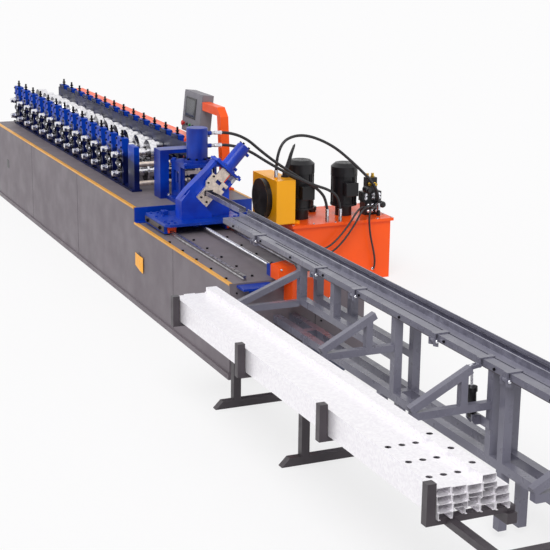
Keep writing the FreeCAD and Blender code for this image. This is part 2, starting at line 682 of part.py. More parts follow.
die = tilted_plate(404, 420,
                   [(-120, -57), (-20, -57), (-20, -90), (60, -90), (60, -60), (85, -60), (85, -90),
                              (112, -90), (112, -30), (70, -30), (70, 20), (112, 20), (112, 81), (30, 81),
                              (-10, 55), (-120, 55)])
die_seat = tilted_plate(384, 404, [(-110, -50), (40, -50), (40, 50), (-110, 50)])
joined("die_plate", [cut(fused([die, die_seat]), [block((380, 430), TUNNEL[0], TUNNEL[1])])])
knife = tilted_plate(386, 402, [(100, -42), (192, -42), (192, 42), (100, 42)])
joined("shear_blade", [knife, tilted_rod(360, 172, 330, "shear_ram"),
                       tilted_plate(350, 402, [(170, -15), (192, -15), (192, 15), (170, 15)])])

# Hydraulic power unit: tank with overhanging lid, two upright pump motors, manifold and fittings
joined("power_unit", [
    block(("tank_left", 0), ("tank_near", "tank_far"), (0, "tank_top")),
    block(("tank_left - 20", 20), ("tank_near - 20", "tank_far + 20"), ("tank_top", LID_TOP)),
])


def upright_motor(x, y, radius, height):
    """Pump motor standing on a bell housing, with cooling fins and a fan cover."""
    body = turned([(0, 0), (0, radius * 0.62), (90, radius * 0.62), (90, radius), (105, radius),
                   (105, radius - 12),
                   (height - 110, radius - 12), (height - 110, radius), (height - 30, radius),
                   (height, radius * 0.7), (height, 0)], (0, 0, 0))
    body.Placement = FreeCAD.Placement(FreeCAD.Vector(), FreeCAD.Rotation(FreeCAD.Vector(1, 0, 0), 90))
    for place, value in (("x", x), ("y", y), ("z", LID_TOP)):
        bind(body, ".Placement.Base." + place, value)
    solids = [body]
    low, high = "%s + 105" % LID_TOP, "%s + %g" % (LID_TOP, height - 110)
    for turn in range(0, 4):
        fin = block((-2, 2), (-radius + 3, radius - 3), (low, high))
        fin.Placement = FreeCAD.Placement(FreeCAD.Vector(),
                                          FreeCAD.Rotation(FreeCAD.Vector(0, 0, 1), 45 * turn + 22))
        way = FreeCAD.Rotation(FreeCAD.Vector(0, 0, 1),
                               45 * turn + 22).multVec(FreeCAD.Vector(-2, 3 - radius, 0))
        for place, value in (("x", x + way.x), ("y", y + way.y), ("z", low)):
            bind(fin, ".Placement.Base." + place, value)
        solids.append(fin)
    solids.append(block((x + radius * 0.6, x + radius + 45), (y - 55, y + 55),
                        ("%s + 190" % LID_TOP, "%s + 300" % LID_TOP)))
    return fused(solids)


fittings = []
for x, y in ((-30, 1240), (-8, 1350), (-100, 1765)):
    fittings.append(fused([rod("z", (x, y, LID_TOP), "hose_size / 2 + 4", 40),
                           rod("z", (x, y, LID_TOP + " + 35"), "hose_size / 2 + 1", 40)]))
valves = [block((-250, -150), (1660, 1800), (LID_TOP, LID_TOP + " + 120")),
          block((-240, -160), (1640, 1820), (LID_TOP + " + 120", LID_TOP + " + 200")),
          block((-230, -170), (1680, 1780), (LID_TOP + " + 200", LID_TOP + " + 320"))]
grouped("pump_set",
        [upright_motor(-250, 1088, 120, 505), upright_motor(-250, 1501, 115, 455),
         fused(valves)] + fittings)
cooler_top = LID_TOP + " + 385"
joined("cooler", [
    block((-500, 0), ("tank_near - 160", "tank_near + 10"), (LID_TOP + " + 20", cooler_top)),
    rod("y", (-250, "tank_near - 205", LID_TOP + " + 200"), 165, 50),
    block((-440, -400), ("tank_near - 120", "tank_near + 80"), (LID_TOP, LID_TOP + " + 21")),
    block((-100, -60), ("tank_near - 120", "tank_near + 80"), (LID_TOP, LID_TOP + " + 21")),
    rod("z", (-100, "tank_near - 123", cooler_top), "hose_size / 2 + 1", 40),
])

# Hoses from the punch cylinder and the cooler to the power unit
port_y = sizes["press_y"] + sizes["cylinder_radius"] + 86 + sizes["seat_gap"]
port_x = sizes["press_x"] + 10
lid = sizes["tank_top"] + sizes["lid_thick"] + sizes["seat_gap"]
port_z = sizes["press_top"]
hose("punch_hose_1",
     [(port_x, port_y, port_z + 225), (port_x, port_y + 180, port_z + 225), (-40, 700, 1105),
      (-35, 960, 930), (-30, 1190, 790), (-30, 1240, lid + 135), (-30, 1240, lid + 75)], sizes["hose_size"])
hose("punch_hose_2",
     [(port_x, port_y, port_z + 125), (port_x, port_y + 180, port_z + 125), (14, 740, 1030),
      (14, 1030, 880), (-8, 1300, 785), (-8, 1350, lid + 135), (-8, 1350, lid + 75)], sizes["hose_size"])
hose("cooler_hose",
     [(-100, 797, lid + 425), (-100, 797, 1190), (-100, 1000, 1285), (-100, 1290, 1180), (-100, 1530, 985),
      (-100, 1730, 790), (-100, 1765, lid + 135), (-100, 1765, lid + 75)], sizes["hose_size"])

# Run-out table: near beam with a long slot, far beam, legs, middle and lower rails, cross ties
BEAM_LOW = "(table_top - beam_high)"
LUGS = (1700, 2660, 3200, 4150, 4850, 5600)
near_beam = block(("table_left", "table_right"), ("leg_line - 30", "leg_line + 30"),
                  (BEAM_LOW, "table_top"))
slot = block((1950, 2700), ("leg_line + 4", "leg_line + 16"), ("table_top - 12", "table_top + 1"))
far_beam = block(("table_left", "table_right"), ("far_line - 25", "far_line + 25"),
                 (BEAM_LOW, "table_top - 20"))
frame = [near_beam, far_beam]


def leg(x, line, low, high):
    """Square tube leg centred on a line."""
    return block(("%s - tube / 2" % x, "%s + tube / 2" % x),
                 ("%s - tube / 2" % line, "%s + tube / 2" % line), (low, high))


HALF = " - tube / 2"
for x in (2400, 2890):
    frame.append(leg(x, "leg_line", "middle_rail" + HALF, BEAM_LOW))
    frame.append(leg(x, "far_line", "middle_rail" + HALF, BEAM_LOW))
for x in (3675, 4690, 5750):
    frame.append(leg(x, "leg_line", "lower_rail", BEAM_LOW))
    frame.append(leg(x, "far_line", "lower_rail", BEAM_LOW))
for line in ("leg_line", "far_line"):
    frame.append(block((2375, 3675), (line + HALF, line + " + tube / 2"),
                       ("middle_rail - tube / 2", "middle_rail + tube / 2 - 5")))
    frame.append(block(("bed_right + seat_gap", "table_right - 60"),
                       (line + HALF, line + " + tube / 2"),
                       ("lower_rail - tube / 2", "lower_rail + tube / 2")))
    for x in (2500, 3525, 4807, 6000):
        frame.append(leg(x, line, "tube", "lower_rail"))
for x in (2400, 3675, 4690, 5750):
    frame.append(block(("%s - tube / 2" % x, "%s + tube / 2" % x), ("leg_line", "far_line"),
                       ("lower_rail - tube / 2", "lower_rail + tube / 2")))
for x in (1150, 2400, 3675, 4690, 5750, 6180):
    frame.append(block(("%s - 20" % x, "%s + 20" % x), ("leg_line", "far_line"),
                       (BEAM_LOW, "table_top - 22")))
frame.append(leg(4807, "leg_line", "lower_rail", BEAM_LOW))
for x in LUGS:
    for x0 in (x - 29, x + 21):
        lug = [("hinge_y - 14", "hinge_z - 26"), ("leg_line - 28", "hinge_z - 34"),
               ("leg_line - 28", "hinge_z + 12"),
               ("hinge_y - 14", "hinge_z + 12")]
        frame.append(plate("YZ_Plane", [lug], x0, x0 + 8))
    frame.append(rod("x", (x - 34, "hinge_y", "hinge_z"), "pin_radius", 68))

# Bracket of the tipping cylinder, screwed to the near leg beside it
FACE = "(leg_line - tube / 2 - seat_gap)"
bracket = [block(("lever_x - 30", 4715), (FACE + " - 10", FACE), ("swivel_z - 40", "swivel_z + 8"))]
for x0, x1 in (("lever_x - 30", "lever_x - 18"), ("lever_x + 18", "lever_x + 30")):
    ear = [("swivel_y - 16", "swivel_z - 16"), ("swivel_y - 16", "swivel_z + 16"),
           ("swivel_y + 16", "swivel_z + 16"),
           (FACE + " - 5", "swivel_z + 8"), (FACE + " - 5", "swivel_z - 40"),
           ("swivel_y + 5", "swivel_z - 40")]
    bracket.append(plate("YZ_Plane", [ear], x0, x1))
bracket.append(rod("x", ("lever_x - 34", "swivel_y", "swivel_z"), 8, 68))
grouped("table_frame", [cut(fused(frame), [slot]), fused(bracket)])

# Tipping trough: floor and far guide in one section, knuckles on the hinge pins and the lever
TABLE_GAP = "(table_top + seat_gap)"
section = [
    ("leg_line + 40", "table_top - 6"), ("leg_line + 40", "table_top"), (35, "table_top"),
    (35, "table_top + 50"),
    (41, "table_top + 50"), (41, "table_top - 40"), (35, "table_top - 40"), (35, "table_top - 6"),
]
trough = [plate("YZ_Plane", [section], "table_left + 5", "table_right")]
tab = [("hinge_y - 4", "hinge_z"), ("hinge_y - 4", "table_top + 6"), ("leg_line + 45", "table_top + 6"),
       ("leg_line + 45", "table_top - 1"), ("leg_line + 40", "table_top - 1"), ("leg_line + 40", TABLE_GAP),
       ("hinge_y + 5", TABLE_GAP), ("hinge_y + 5", "hinge_z")]
pin_holes = []
for x in LUGS:
    trough.append(rod("x", (x - 20, "hinge_y", "hinge_z"), "pin_radius + 5", 40))
    trough.append(plate("YZ_Plane", [tab], x - 20, x + 20))
    pin_holes.append(rod("x", (x - 21, "hinge_y", "hinge_z"), "pin_radius + running_fit", 42))
lever_way = math.radians(sizes["lever_angle"])
eye_y = sizes["hinge_y"] + sizes["lever"] * math.cos(lever_way)
eye_z = sizes["hinge_z"] + sizes["lever"] * math.sin(lever_way)
side_y, side_z = -math.sin(lever_way), math.cos(lever_way)


def lever_point(along, across):
    """Corner of the lever, along it from the hinge and across it."""
    return (sizes["hinge_y"] + along * math.cos(lever_way) + across * side_y,
            sizes["hinge_z"] + along * math.sin(lever_way) + across * side_z)


for x0 in (-17, 9):
    corners = [lever_point(-4, -9), lever_point(sizes["lever"] + 10, -9),
               lever_point(sizes["lever"] + 10, 9), lever_point(-4, 9)]
    trough.append(plate("YZ_Plane", [corners], "lever_x + %d" % x0, "lever_x + %d" % (x0 + 8)))
trough.append(rod("x", ("lever_x - 17", "hinge_y", "hinge_z"), "pin_radius + 5", 34))
trough.append(plate("YZ_Plane", [tab], "lever_x - 17", "lever_x + 17"))
trough.append(rod("x", ("lever_x - 17", eye_y, eye_z), "pin_radius", 34))
joined("table_trough", [cut(fused(trough), pin_holes)])

# Tipping cylinder: barrel on its lower pin, rod with an eye round the lever pin
way = FreeCAD.Vector(0, eye_y - sizes["swivel_y"], eye_z - sizes["swivel_z"])
reach = way.Length
lean = math.degrees(math.atan2(-way.y, way.z))
stand = FreeCAD.Rotation(FreeCAD.Vector(1, 0, 0), lean)
foot = FreeCAD.Vector(sizes["lever_x"], sizes["swivel_y"], sizes["swivel_z"])


def leaning_rod(axis, start, radius, length):
    """Cylinder drawn in the upright frame of the lower pin and leant onto the cylinder's line."""
    solid = doc.addObject("Part::Cylinder", unique("rod"))
    solid.Placement = FreeCAD.Placement(foot, stand).multiply(
        FreeCAD.Placement(FreeCAD.Vector(*start), TURNS[axis]))
    bind(solid, "Radius", radius)
    bind(solid, "Height", length)
    return solid


eye_gap = 0.95
tube_length = reach * 0.6
joined("tip_barrel", [cut(
    fused([leaning_rod("x", (-17, 0, 0), 16, 34), leaning_rod("z", (0, 0, 4), 13, 30),
           leaning_rod("z", (0, 0, 26), 24, tube_length - 26), leaning_rod("z", (0, 0, 26), 29, 20),
           leaning_rod("z", (0, 0, tube_length - 24), 30, 24)]),
    [leaning_rod("x", (-18, 0, 0), "8 + running_fit", 36),
     leaning_rod("z", (0, 0, 48), "7.5 + running_fit", tube_length)])])
joined("tip_rod", [cut(
    fused([leaning_rod("z", (0, 0, 74), 7.5, reach - 74), leaning_rod("x", (-8, 0, reach), 14, 16)]),
    [leaning_rod("x", (-9, 0, reach), "pin_radius + %g" % eye_gap, 18)])])

# Discharge arms: sloping bar, level bar and strut welded to the near legs
arms = []
for x, level, tip_y, tip_z, end_y, end_z in (
        (2400, 610, -585, 662, -150, 828), (3675, 685, -612, 733, -280, 908),
        (4690, 685, -618, 733, -280, 908), (5750, 685, -618, 733, -280, 908)):
    x0, x1 = x - 20, x + 20
    size = math.hypot(end_y - tip_y, end_z - tip_z)
    along_y, along_z = (end_y - tip_y) / size, (end_z - tip_z) / size
    under_y, under_z = along_z * sizes["arm_tube"], -along_y * sizes["arm_tube"]
    blunt = (end_y + under_y, end_z + under_z)
    if end_y >= -200:
        blunt = (end_y, end_z - sizes["arm_tube"] / along_y)
    sloping = plate("YZ_Plane", [[(tip_y, tip_z), (end_y, end_z), blunt, (tip_y + under_y, tip_z + under_z)]],
                    x0, x1)
    start = tip_y + 14
    wall = "leg_line - tube / 2"
    flat = plate("YZ_Plane", [[(start, level - 16), (start + 8, level - 20), (wall, level - 20),
                               (wall, level + 20), (start, level + 20)]], x0, x1)
    parts = [flat, sloping]
    if end_y < -200:
        strut_y = end_y - 50
        parts.append(block((x0, x1), (strut_y, strut_y + 40),
                           (level, tip_z - 20 + (strut_y - tip_y) * along_z / along_y)))
    arms.append(fused(parts))
grouped("discharge_arms", arms)

# Collecting rack: mitred foot tubes, arms with end stops and two beams along the line
rack = []
ARM_LOW = "(rack_top - rack_arm)"
BEAM_UNDER = "(rack_top - rack_arm - tube)"
for shift in (25, 1050, 3525):
    x0, x1 = "first_rack + %d - tube / 2" % shift, "first_rack + %d + tube / 2" % shift
    foot_side = [("foot_near", 0), ("far_line + 45", 0), ("far_line + 45", "tube"),
                 ("foot_near + tube", "tube")]
    rack.append(plate("YZ_Plane", [foot_side], x0, x1))
    rack.append(block((x0, x1), ("rack_post - tube / 2", "rack_post + tube / 2"), ("tube", ARM_LOW)))
rack.append(block(("first_rack - 40", "first_rack + 3 * rack_pitch + 40"),
                  ("rack_post - tube / 2", "rack_post + tube / 2"), (BEAM_UNDER, ARM_LOW)))
for k in range(0, 4):
    x = "(first_rack + %d * rack_pitch)" % k
    x0, x1 = x + " - rack_tube / 2", x + " + rack_tube / 2"
    rack.append(block((x0, x1), ("rack_near", "rack_post + tube / 2"), (ARM_LOW, "rack_top")))
    rack.append(block((x0, x1), ("rack_near", "rack_near + rack_tube"), (ARM_LOW, "rack_top + 164")))
rack.append(block(("first_rack", "first_rack + 3550"), ("rack_near + 100", "rack_near + 100 + rack_tube"),
                  (ARM_LOW + " - 12", "rack_top - 8")))
rack.append(block(("first_rack + 3500", "first_rack + 3550"), ("rack_near + 100", "rack_post + tube / 2"),
                  (ARM_LOW, "rack_top - 8")))
joined("rack_frame", rack)

# Stack of finished studs lying web up on the rack, with punched holes near the right end
STUD = "(stack_pitch - seat_gap)"
LAYER = "(layer_pitch - seat_gap)"
studs = []
for column in range(0, 5):
    layers = {3: 5, 4: 3}.get(column, 4)
    for layer in range(0, layers):
        y0 = "rack_near + rack_tube + 4 + %d * stack_pitch" % column
        z0 = "rack_top + seat_gap + %d * layer_pitch" % layer
        corners = channel(y0, z0, STUD, LAYER, "11", "2")
        high = "%s + %s" % (z0, LAYER)
        corners = [(y, "(%s) + (%s) - (%s)" % (z0, high, z)) for y, z in corners]
        stud = plate("YZ_Plane", [corners], "stack_left + %d" % (7 * ((2 * column + 3 * layer) % 5)),
                     "stack_right - %d" % (9 * ((3 * column + layer) % 4)))
        if layer == layers - 1:
            middle = y0 + " + stack_pitch / 2"
            holes = [rod("z", ("stack_right - %d" % back, middle, high + " - 10"), 16,
                         20) for back in (150, 330, 520)]
            stud = cut(stud, holes)
        studs.append(stud)
grouped("stud_stack", studs)

# Stud on its way through the press and the shear, and the cut stud that lies in the trough
web_edge = "-web_width / 2"
joined("profile",
       [plate("YZ_Plane",
              [channel(web_edge, PASS, "web_width", "flange_width", "lip_width", "sheet_thick")],
                         "press_x - 70", "table_left - 6")])
lying = channel(web_edge, "table_top + seat_gap", "web_width", "flange_width", "lip_width", "sheet_thick")
joined("cut_stud", [plate("YZ_Plane", [lying], "table_left + 8", "table_right - 90")])

doc.recompute()
for obj in doc.Objects:
    if "Invalid" in obj.State or "Error" in obj.State:
        raise RuntimeError("object %s: %s" % (obj.Name, obj.State))
for node in NODES:
    shape = node.Shape
    if shape.isNull() or not shape.isValid():
        raise RuntimeError("bad shape in %s" % node.Label)
    shape.exportStep("parts/%s.step" % node.Label)
    box = shape.BoundBox
    print("%-18s solids %3d  x %7.1f..%7.1f  y %7.1f..%7.1f  z %6.1f..%6.1f" % (
        node.Label, len(shape.Solids), box.XMin, box.XMax, box.YMin, box.YMax, box.ZMin, box.ZMax))
print("nodes", len(NODES))
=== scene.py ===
# %% [markdown]
# # A roll forming machine, dressed for its picture
#
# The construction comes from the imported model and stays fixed. This script adds what that model
# leaves out: the finish of each surface, bolts, trims, fan guards, fittings and hoses.
# Every length is in metres. X runs along the strip, Y across the machine, Z up from the floor.

import math

import bmesh
import bpy
import numpy as np
from mathutils import Matrix, Vector


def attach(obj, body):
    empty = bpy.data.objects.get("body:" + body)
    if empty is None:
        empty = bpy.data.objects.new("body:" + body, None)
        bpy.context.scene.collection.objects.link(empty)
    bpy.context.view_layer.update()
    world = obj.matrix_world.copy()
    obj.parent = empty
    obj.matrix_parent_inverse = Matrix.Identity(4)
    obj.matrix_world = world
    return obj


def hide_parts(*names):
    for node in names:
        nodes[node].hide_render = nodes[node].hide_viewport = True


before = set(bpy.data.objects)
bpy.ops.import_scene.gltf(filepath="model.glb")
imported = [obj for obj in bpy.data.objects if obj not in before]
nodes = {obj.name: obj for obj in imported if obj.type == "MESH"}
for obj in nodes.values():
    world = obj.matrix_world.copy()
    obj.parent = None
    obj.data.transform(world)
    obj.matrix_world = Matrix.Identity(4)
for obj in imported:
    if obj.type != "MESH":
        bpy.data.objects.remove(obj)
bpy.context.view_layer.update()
scene = bpy.context.scene

# %% [markdown]
# The camera stands where the photographer stood: beyond the end of the run-out table, a little
# above head height. A long lens flattens the eleven metre line. The direction is given by the
# turn round the vertical, the dip below the horizon and a slight roll.

# %% Camera
VIEW_TURN, VIEW_DIP, VIEW_ROLL = 24.041, 14.789, 0.674
STANDPOINT = (10.3559, -3.8661, 3.1116)
SENSOR, FOCAL_PIXELS, PICTURE_PIXELS = 36.0, 1407.92, 550
turn, dip, roll = (math.radians(angle) for angle in (VIEW_TURN, VIEW_DIP, VIEW_ROLL))
ahead = Vector((-math.cos(turn) * math.cos(dip), math.sin(turn) * math.cos(dip), -math.sin(dip)))
level = ahead.cross(Vector((0, 0, 1))).normalized()
upright = level.cross(ahead)
right = level * math.cos(roll) + upright * math.sin(roll)
up = upright * math.cos(roll) - level * math.sin(roll)
lens_data = bpy.data.cameras.new("camera")
lens_data.sensor_width = SENSOR
lens_data.lens = SENSOR * FOCAL_PIXELS / PICTURE_PIXELS
lens_data.clip_end = 200
camera = bpy.data.objects.new("camera", lens_data)
scene.collection.objects.link(camera)
placing = Matrix((right, up, -ahead)).transposed().to_4x4()
placing.translation = STANDPOINT
camera.matrix_world = placing
scene.camera = camera
print("lens", round(lens_data.lens, 1), "mm")

# %% [markdown]
# Materials come next, because everything else is judged by them. Two small helpers do the work:
# one turns a written colour into the linear light that the renderer wants, and one adds a node
# with its settings and its links.


# %% Colour and node helpers
def light(code):
    """Linear RGBA of an sRGB hex code: each channel to the power 2.4 above the short straight foot."""
    channels = [int(code[i:i + 2], 16) / 255 for i in (0, 2, 4)]
    return [c / 12.92 if c < 0.04045 else ((c + 0.055) / 1.055) ** 2.4 for c in channels] + [1.0]


def add(tree, kind, inputs=(), **settings):
    """Adds one node. settings are its own properties; inputs pair a socket with a value or a link."""
    node = tree.nodes.new(kind)
    for key, value in settings.items():
        setattr(node, key, value)
    for socket, value in inputs:
        if isinstance(value, bpy.types.NodeSocket):
            tree.links.new(value, node.inputs[socket])
        else:
            node.inputs[socket].default_value = value
    return node


def start(name, roughness, metallic=0.0, coat=0.0, ior=1.45):
    """New material with its shader, the position on the piece and that position's three parts."""
    material = bpy.data.materials.new(name)
    material.use_nodes = True
    tree = material.node_tree
    shader = tree.nodes["Principled BSDF"]
    shader.inputs["Metallic"].default_value = metallic
    shader.inputs["Roughness"].default_value = roughness
    shader.inputs["Coat Weight"].default_value = coat
    shader.inputs["Coat Roughness"].default_value = 0.12
    if metallic < 0.5:
        shader.inputs["IOR"].default_value = ior
    place = add(tree, "ShaderNodeTexCoord")
    parts = add(tree, "ShaderNodeSeparateXYZ", [(0, place.outputs["Object"])])
    return material, tree, shader, place, parts


def blended(tree, share, first, second):
    """Colour that goes from first to second as share goes from 0 to 1."""
    mix = add(tree, "ShaderNodeMix", [("Factor", share), (6, first), (7, second)], data_type="RGBA")
    return mix.outputs[2]


def grain(tree, place, size, detail=3.0, low=0.35, high=0.65):
    """Noise of a given real size in metres, stretched so that it runs from 0 to 1."""
    noise = add(tree, "ShaderNodeTexNoise",
                [("Vector", place.outputs["Object"]), ("Scale", 1 / size), ("Detail", detail)])
    ramp = add(tree, "ShaderNodeMapRange", [("Value", noise.outputs["Fac"]), ("From Min", low),
                                            ("From Max", high)])
    return ramp.outputs[0]


def bumped(tree, shader, height, depth, strength=1.0):
    """Relief of a real depth in metres, added to the shader."""
    bump = add(tree, "ShaderNodeBump", [("Height", height), ("Distance", depth),
                                        ("Strength", strength)])
    tree.links.new(bump.outputs[0], shader.inputs["Normal"])


# %% [markdown]
# **Sprayed enamel** covers most of the machine: blue on the tooling, orange on guards and tank,
# yellow on the cooler, grey on cabinet, table and rack. Enamel is a hard gloss coat with a faint
# orange-peel surface a few millimetres wide, and it carries a film of dust that shifts its tone.


# %% Sprayed enamels
BLUE, DEEP_BLUE = "0038a6", "001e7c"
PEEL_DEPTH = 0.00008


def enamel(name, colour, dusty, roughness=0.36, coat=0.08, peel=0.004, patch=0.22, film=0.35):
    """Paint whose colour drifts to its dusty tone in patches, with an orange-peel relief."""
    material, tree, shader, place, parts = start(name, roughness, coat=coat, ior=1.38)
    patches = grain(tree, place, patch, detail=5.0)
    share = add(tree, "ShaderNodeMath", [(0, patches), (1, film)], operation="MULTIPLY")
    colours = blended(tree, share.outputs[0], light(colour), light(dusty))
    tree.links.new(colours, shader.inputs["Base Color"])
    rough = add(tree, "ShaderNodeMapRange", [("Value", grain(tree, place, patch / 3)),
                                             ("To Min", roughness - 0.06),
                                             ("To Max", roughness + 0.10)])
    tree.links.new(rough.outputs[0], shader.inputs["Roughness"])
    bumped(tree, shader, grain(tree, place, peel, detail=1.0), PEEL_DEPTH, 0.5)
    return material


cabinet_paint = enamel("cabinet_powder_coat", "736b71", "5f585e", roughness=0.5, coat=0.0, patch=0.6)
blue_paint = enamel("tooling_blue_enamel", BLUE, DEEP_BLUE)
orange_paint = enamel("guard_orange_enamel", "ff5a0c", "ee4e08", patch=0.35)
yellow_paint = enamel("cooler_yellow_enamel", "ffb004", "f8a402", patch=0.3)
trim_paint = enamel("trim_gold_enamel", "e8a632", "c98820", patch=0.15)
table_paint = enamel("table_grey_enamel", "757482", "565462", roughness=0.3, coat=0.2, patch=0.25)
rack_paint = enamel("rack_charcoal_enamel", "443e43", "2f2a2f", roughness=0.4)
panel_paint = enamel("control_box_texture_coat", "817e85", "716e76", roughness=0.5, coat=0.0,
                     peel=0.0025)
black_paint = enamel("motor_black_enamel", "111014", "1d1c20")
motor_paint = enamel("servo_motor_slate_enamel", "535870", "404456", roughness=0.4)

# %% [markdown]
# ** Roll stands** are the same blue, with painted shade that makes the lower halves of the plates nearly
# black-blue, while the blocks on top stay bright blue. A soft step at a set height gives both.

# %% Stand paint with painted shade on its lower part
# painted shade: below the first height the stand blue turns dark, and above the second it is full blue
SHADED_BELOW, LIT_ABOVE = 1.04, 1.12
BEAM_Y, BEAM_HALF = 0.219, 0.0065
stand_paint, tree, shader, place, parts = start("stand_blue_enamel_painted_shade", 0.42, coat=0.0, ior=1.34)
wobble = grain(tree, place, 0.05)
height = add(tree, "ShaderNodeMath", [(0, wobble), (1, 0.05), (2, parts.outputs[2])],
             operation="MULTIPLY_ADD")
lit_by_height = add(tree, "ShaderNodeMapRange", [("Value", height.outputs[0]), ("From Min", SHADED_BELOW),
                                         ("From Max", LIT_ABOVE)])
painted_shade_blue = blended(tree, grain(tree, place, 0.09), light("08144c"), light("04092a"))
# the long beam behind the far housings gets the painted-shade blue over its whole height
beam = add(tree, "ShaderNodeMath", [(0, parts.outputs[1]), (1, BEAM_Y), (2, BEAM_HALF)],
           operation="COMPARE")
free = add(tree, "ShaderNodeMath", [(0, 1.0), (1, beam.outputs[0])], operation="SUBTRACT")
lit_share = add(tree, "ShaderNodeMath", [(0, lit_by_height.outputs[0]), (1, free.outputs[0])], operation="MULTIPLY")
tree.links.new(blended(tree, lit_share.outputs[0], painted_shade_blue, light(BLUE)), shader.inputs["Base Color"])
shader.inputs["Specular IOR Level"].default_value = 0.25
bumped(tree, shader, grain(tree, place, 0.004, detail=1.0), PEEL_DEPTH, 0.5)

# %% [markdown]
# ** Bare metals.** The rolls are hard chrome with turning marks round their axis, and their side
# faces are darkened with painted shade.

# %% Hard chrome rolls
FIRST_STATION, PITCH = -4.536, 0.298
roll_chrome, tree, shader, place, parts = start("turned_hard_chrome", 0.2, metallic=1.0)
# painted shade: faces turned along Y take a dark tone in place of the chrome colour
facing = add(tree, "ShaderNodeSeparateXYZ", [(0, place.outputs["Normal"])])
sideways = add(tree, "ShaderNodeMath", [(0, facing.outputs[1])], operation="ABSOLUTE")
side = add(tree, "ShaderNodeMapRange", [("Value", sideways.outputs[0]), ("From Min", 0.55),
                                        ("From Max", 0.85)])
bright = blended(tree, grain(tree, place, 0.02), light("f2f1f4"), light("d6d5da"))
tree.links.new(blended(tree, side.outputs[0], bright, light("2a2830")), shader.inputs["Base Color"])
marks = add(tree, "ShaderNodeTexWave", [("Vector", place.outputs["Object"]), ("Scale", 400.0),
                                        ("Distortion", 1.5)],
            bands_direction="Y")
bumped(tree, shader, marks.outputs["Fac"], 0.00003, 0.3)

# %% [markdown]
# Ball screw and rails are ground steel, the bolts are black oxide or bright zinc, and the studs are
# galvanised sheet with spangle. Rubber, glass and moulded plastic complete the set.


# %% Steels, zinc, rubber, glass and plastic
def metal(name, colour, dark, roughness, size=0.03, streak=None):
    """Bare metal whose tone drifts between two colours, brushed along one axis if streak is given."""
    material, tree, shader, place, parts = start(name, roughness, metallic=1.0)
    tree.links.new(blended(tree, grain(tree, place, size), light(colour), light(dark)),
                   shader.inputs["Base Color"])
    if streak:
        stretched = add(tree, "ShaderNodeMapping", [("Vector", place.outputs["Object"]),
                                                    ("Scale", streak)])
        lines = add(tree, "ShaderNodeTexNoise", [("Vector", stretched.outputs[0]), ("Scale", 1.0),
                                                 ("Detail", 2.0)])
        bumped(tree, shader, lines.outputs["Fac"], 0.00005, 0.5)
    return material


rail_steel = metal("ground_rail_steel", "b5b2b4", "8f8c90", 0.3, streak=(4, 700, 700))
tool_steel = metal("milled_die_steel", "eedfd2", "cfc2b8", 0.5, streak=(30, 500, 60))
chock_steel = metal("oiled_chock_steel", "34323a", "1d1b22", 0.4)
black_oxide = metal("black_oxide_steel", "26242a", "121116", 0.42)
zinc_plate = metal("bright_zinc_plate", "eeeef2", "c9c9d2", 0.22, size=0.01)
brass = metal("machined_brass", "d9b24a", "a98632", 0.3, size=0.01)

stud_zinc, tree, shader, place, parts = start("galvanised_stud_sheet", 0.38, metallic=0.55)
spangle = add(tree, "ShaderNodeTexVoronoi", [("Vector", place.outputs["Object"]), ("Scale", 1 / 0.012)])
flake = add(tree, "ShaderNodeSeparateColor", [(0, spangle.outputs["Color"])])
tone = blended(tree, flake.outputs[0], light("fbf9fc"), light("f0edf2"))
tree.links.new(tone, shader.inputs["Base Color"])
lines = add(tree, "ShaderNodeMapping", [("Vector", place.outputs["Object"]), ("Scale", (0.5, 90, 90))])
streaks = add(tree, "ShaderNodeTexNoise", [("Vector", lines.outputs[0]), ("Scale", 1.0),
                                           ("Detail", 3.0)])
bumped(tree, shader, streaks.outputs["Fac"], 0.0002, 0.4)

# the strip in the line is zinc whose cool grey colour is a painted reflection of its surroundings
strip_zinc_painted_reflection = metal("zinc_strip_painted_reflection", "a9a8b6", "8d8c9a", 0.34, size=0.05, streak=(0.5, 90, 90))

hose_rubber, tree, shader, place, parts = start("hose_rubber", 0.45, ior=1.5)
tree.links.new(blended(tree, grain(tree, place, 0.03), light("121114"), light("232126")),
               shader.inputs["Base Color"])
bumped(tree, shader, grain(tree, place, 0.003), 0.0001, 0.5)

screen_glass, tree, shader, place, parts = start("display_glass", 0.08, ior=1.5)
tree.links.new(blended(tree, grain(tree, place, 0.1), light("34353f"), light("23242c")),
               shader.inputs["Base Color"])


def moulded(name, colour, dark):
    """Moulded plastic of a button or cap, fine grained."""
    material, tree, shader, place, parts = start(name, 0.35, ior=1.46)
    tree.links.new(blended(tree, grain(tree, place, 0.006), light(colour), light(dark)),
                   shader.inputs["Base Color"])
    bumped(tree, shader, grain(tree, place, 0.0012), 0.00005, 0.4)
    return material


red_plastic = moulded("red_button_plastic", "d3201f", "ab1716")
black_plastic = moulded("black_knob_plastic", "1e1d21", "131216")
green_plastic = moulded("green_button_plastic", "1d8a3c", "156a2d")
seal_plastic = moulded("orange_seal_plastic", "ee4a12", "c23a0c")

# %% [markdown]
# The press and the shear each mix finishes in one solid: blue frames with bare dies, and light
# fittings on the cylinder ports. Boxes in space pick the bare parts out, which is how a painter
# would mask them.


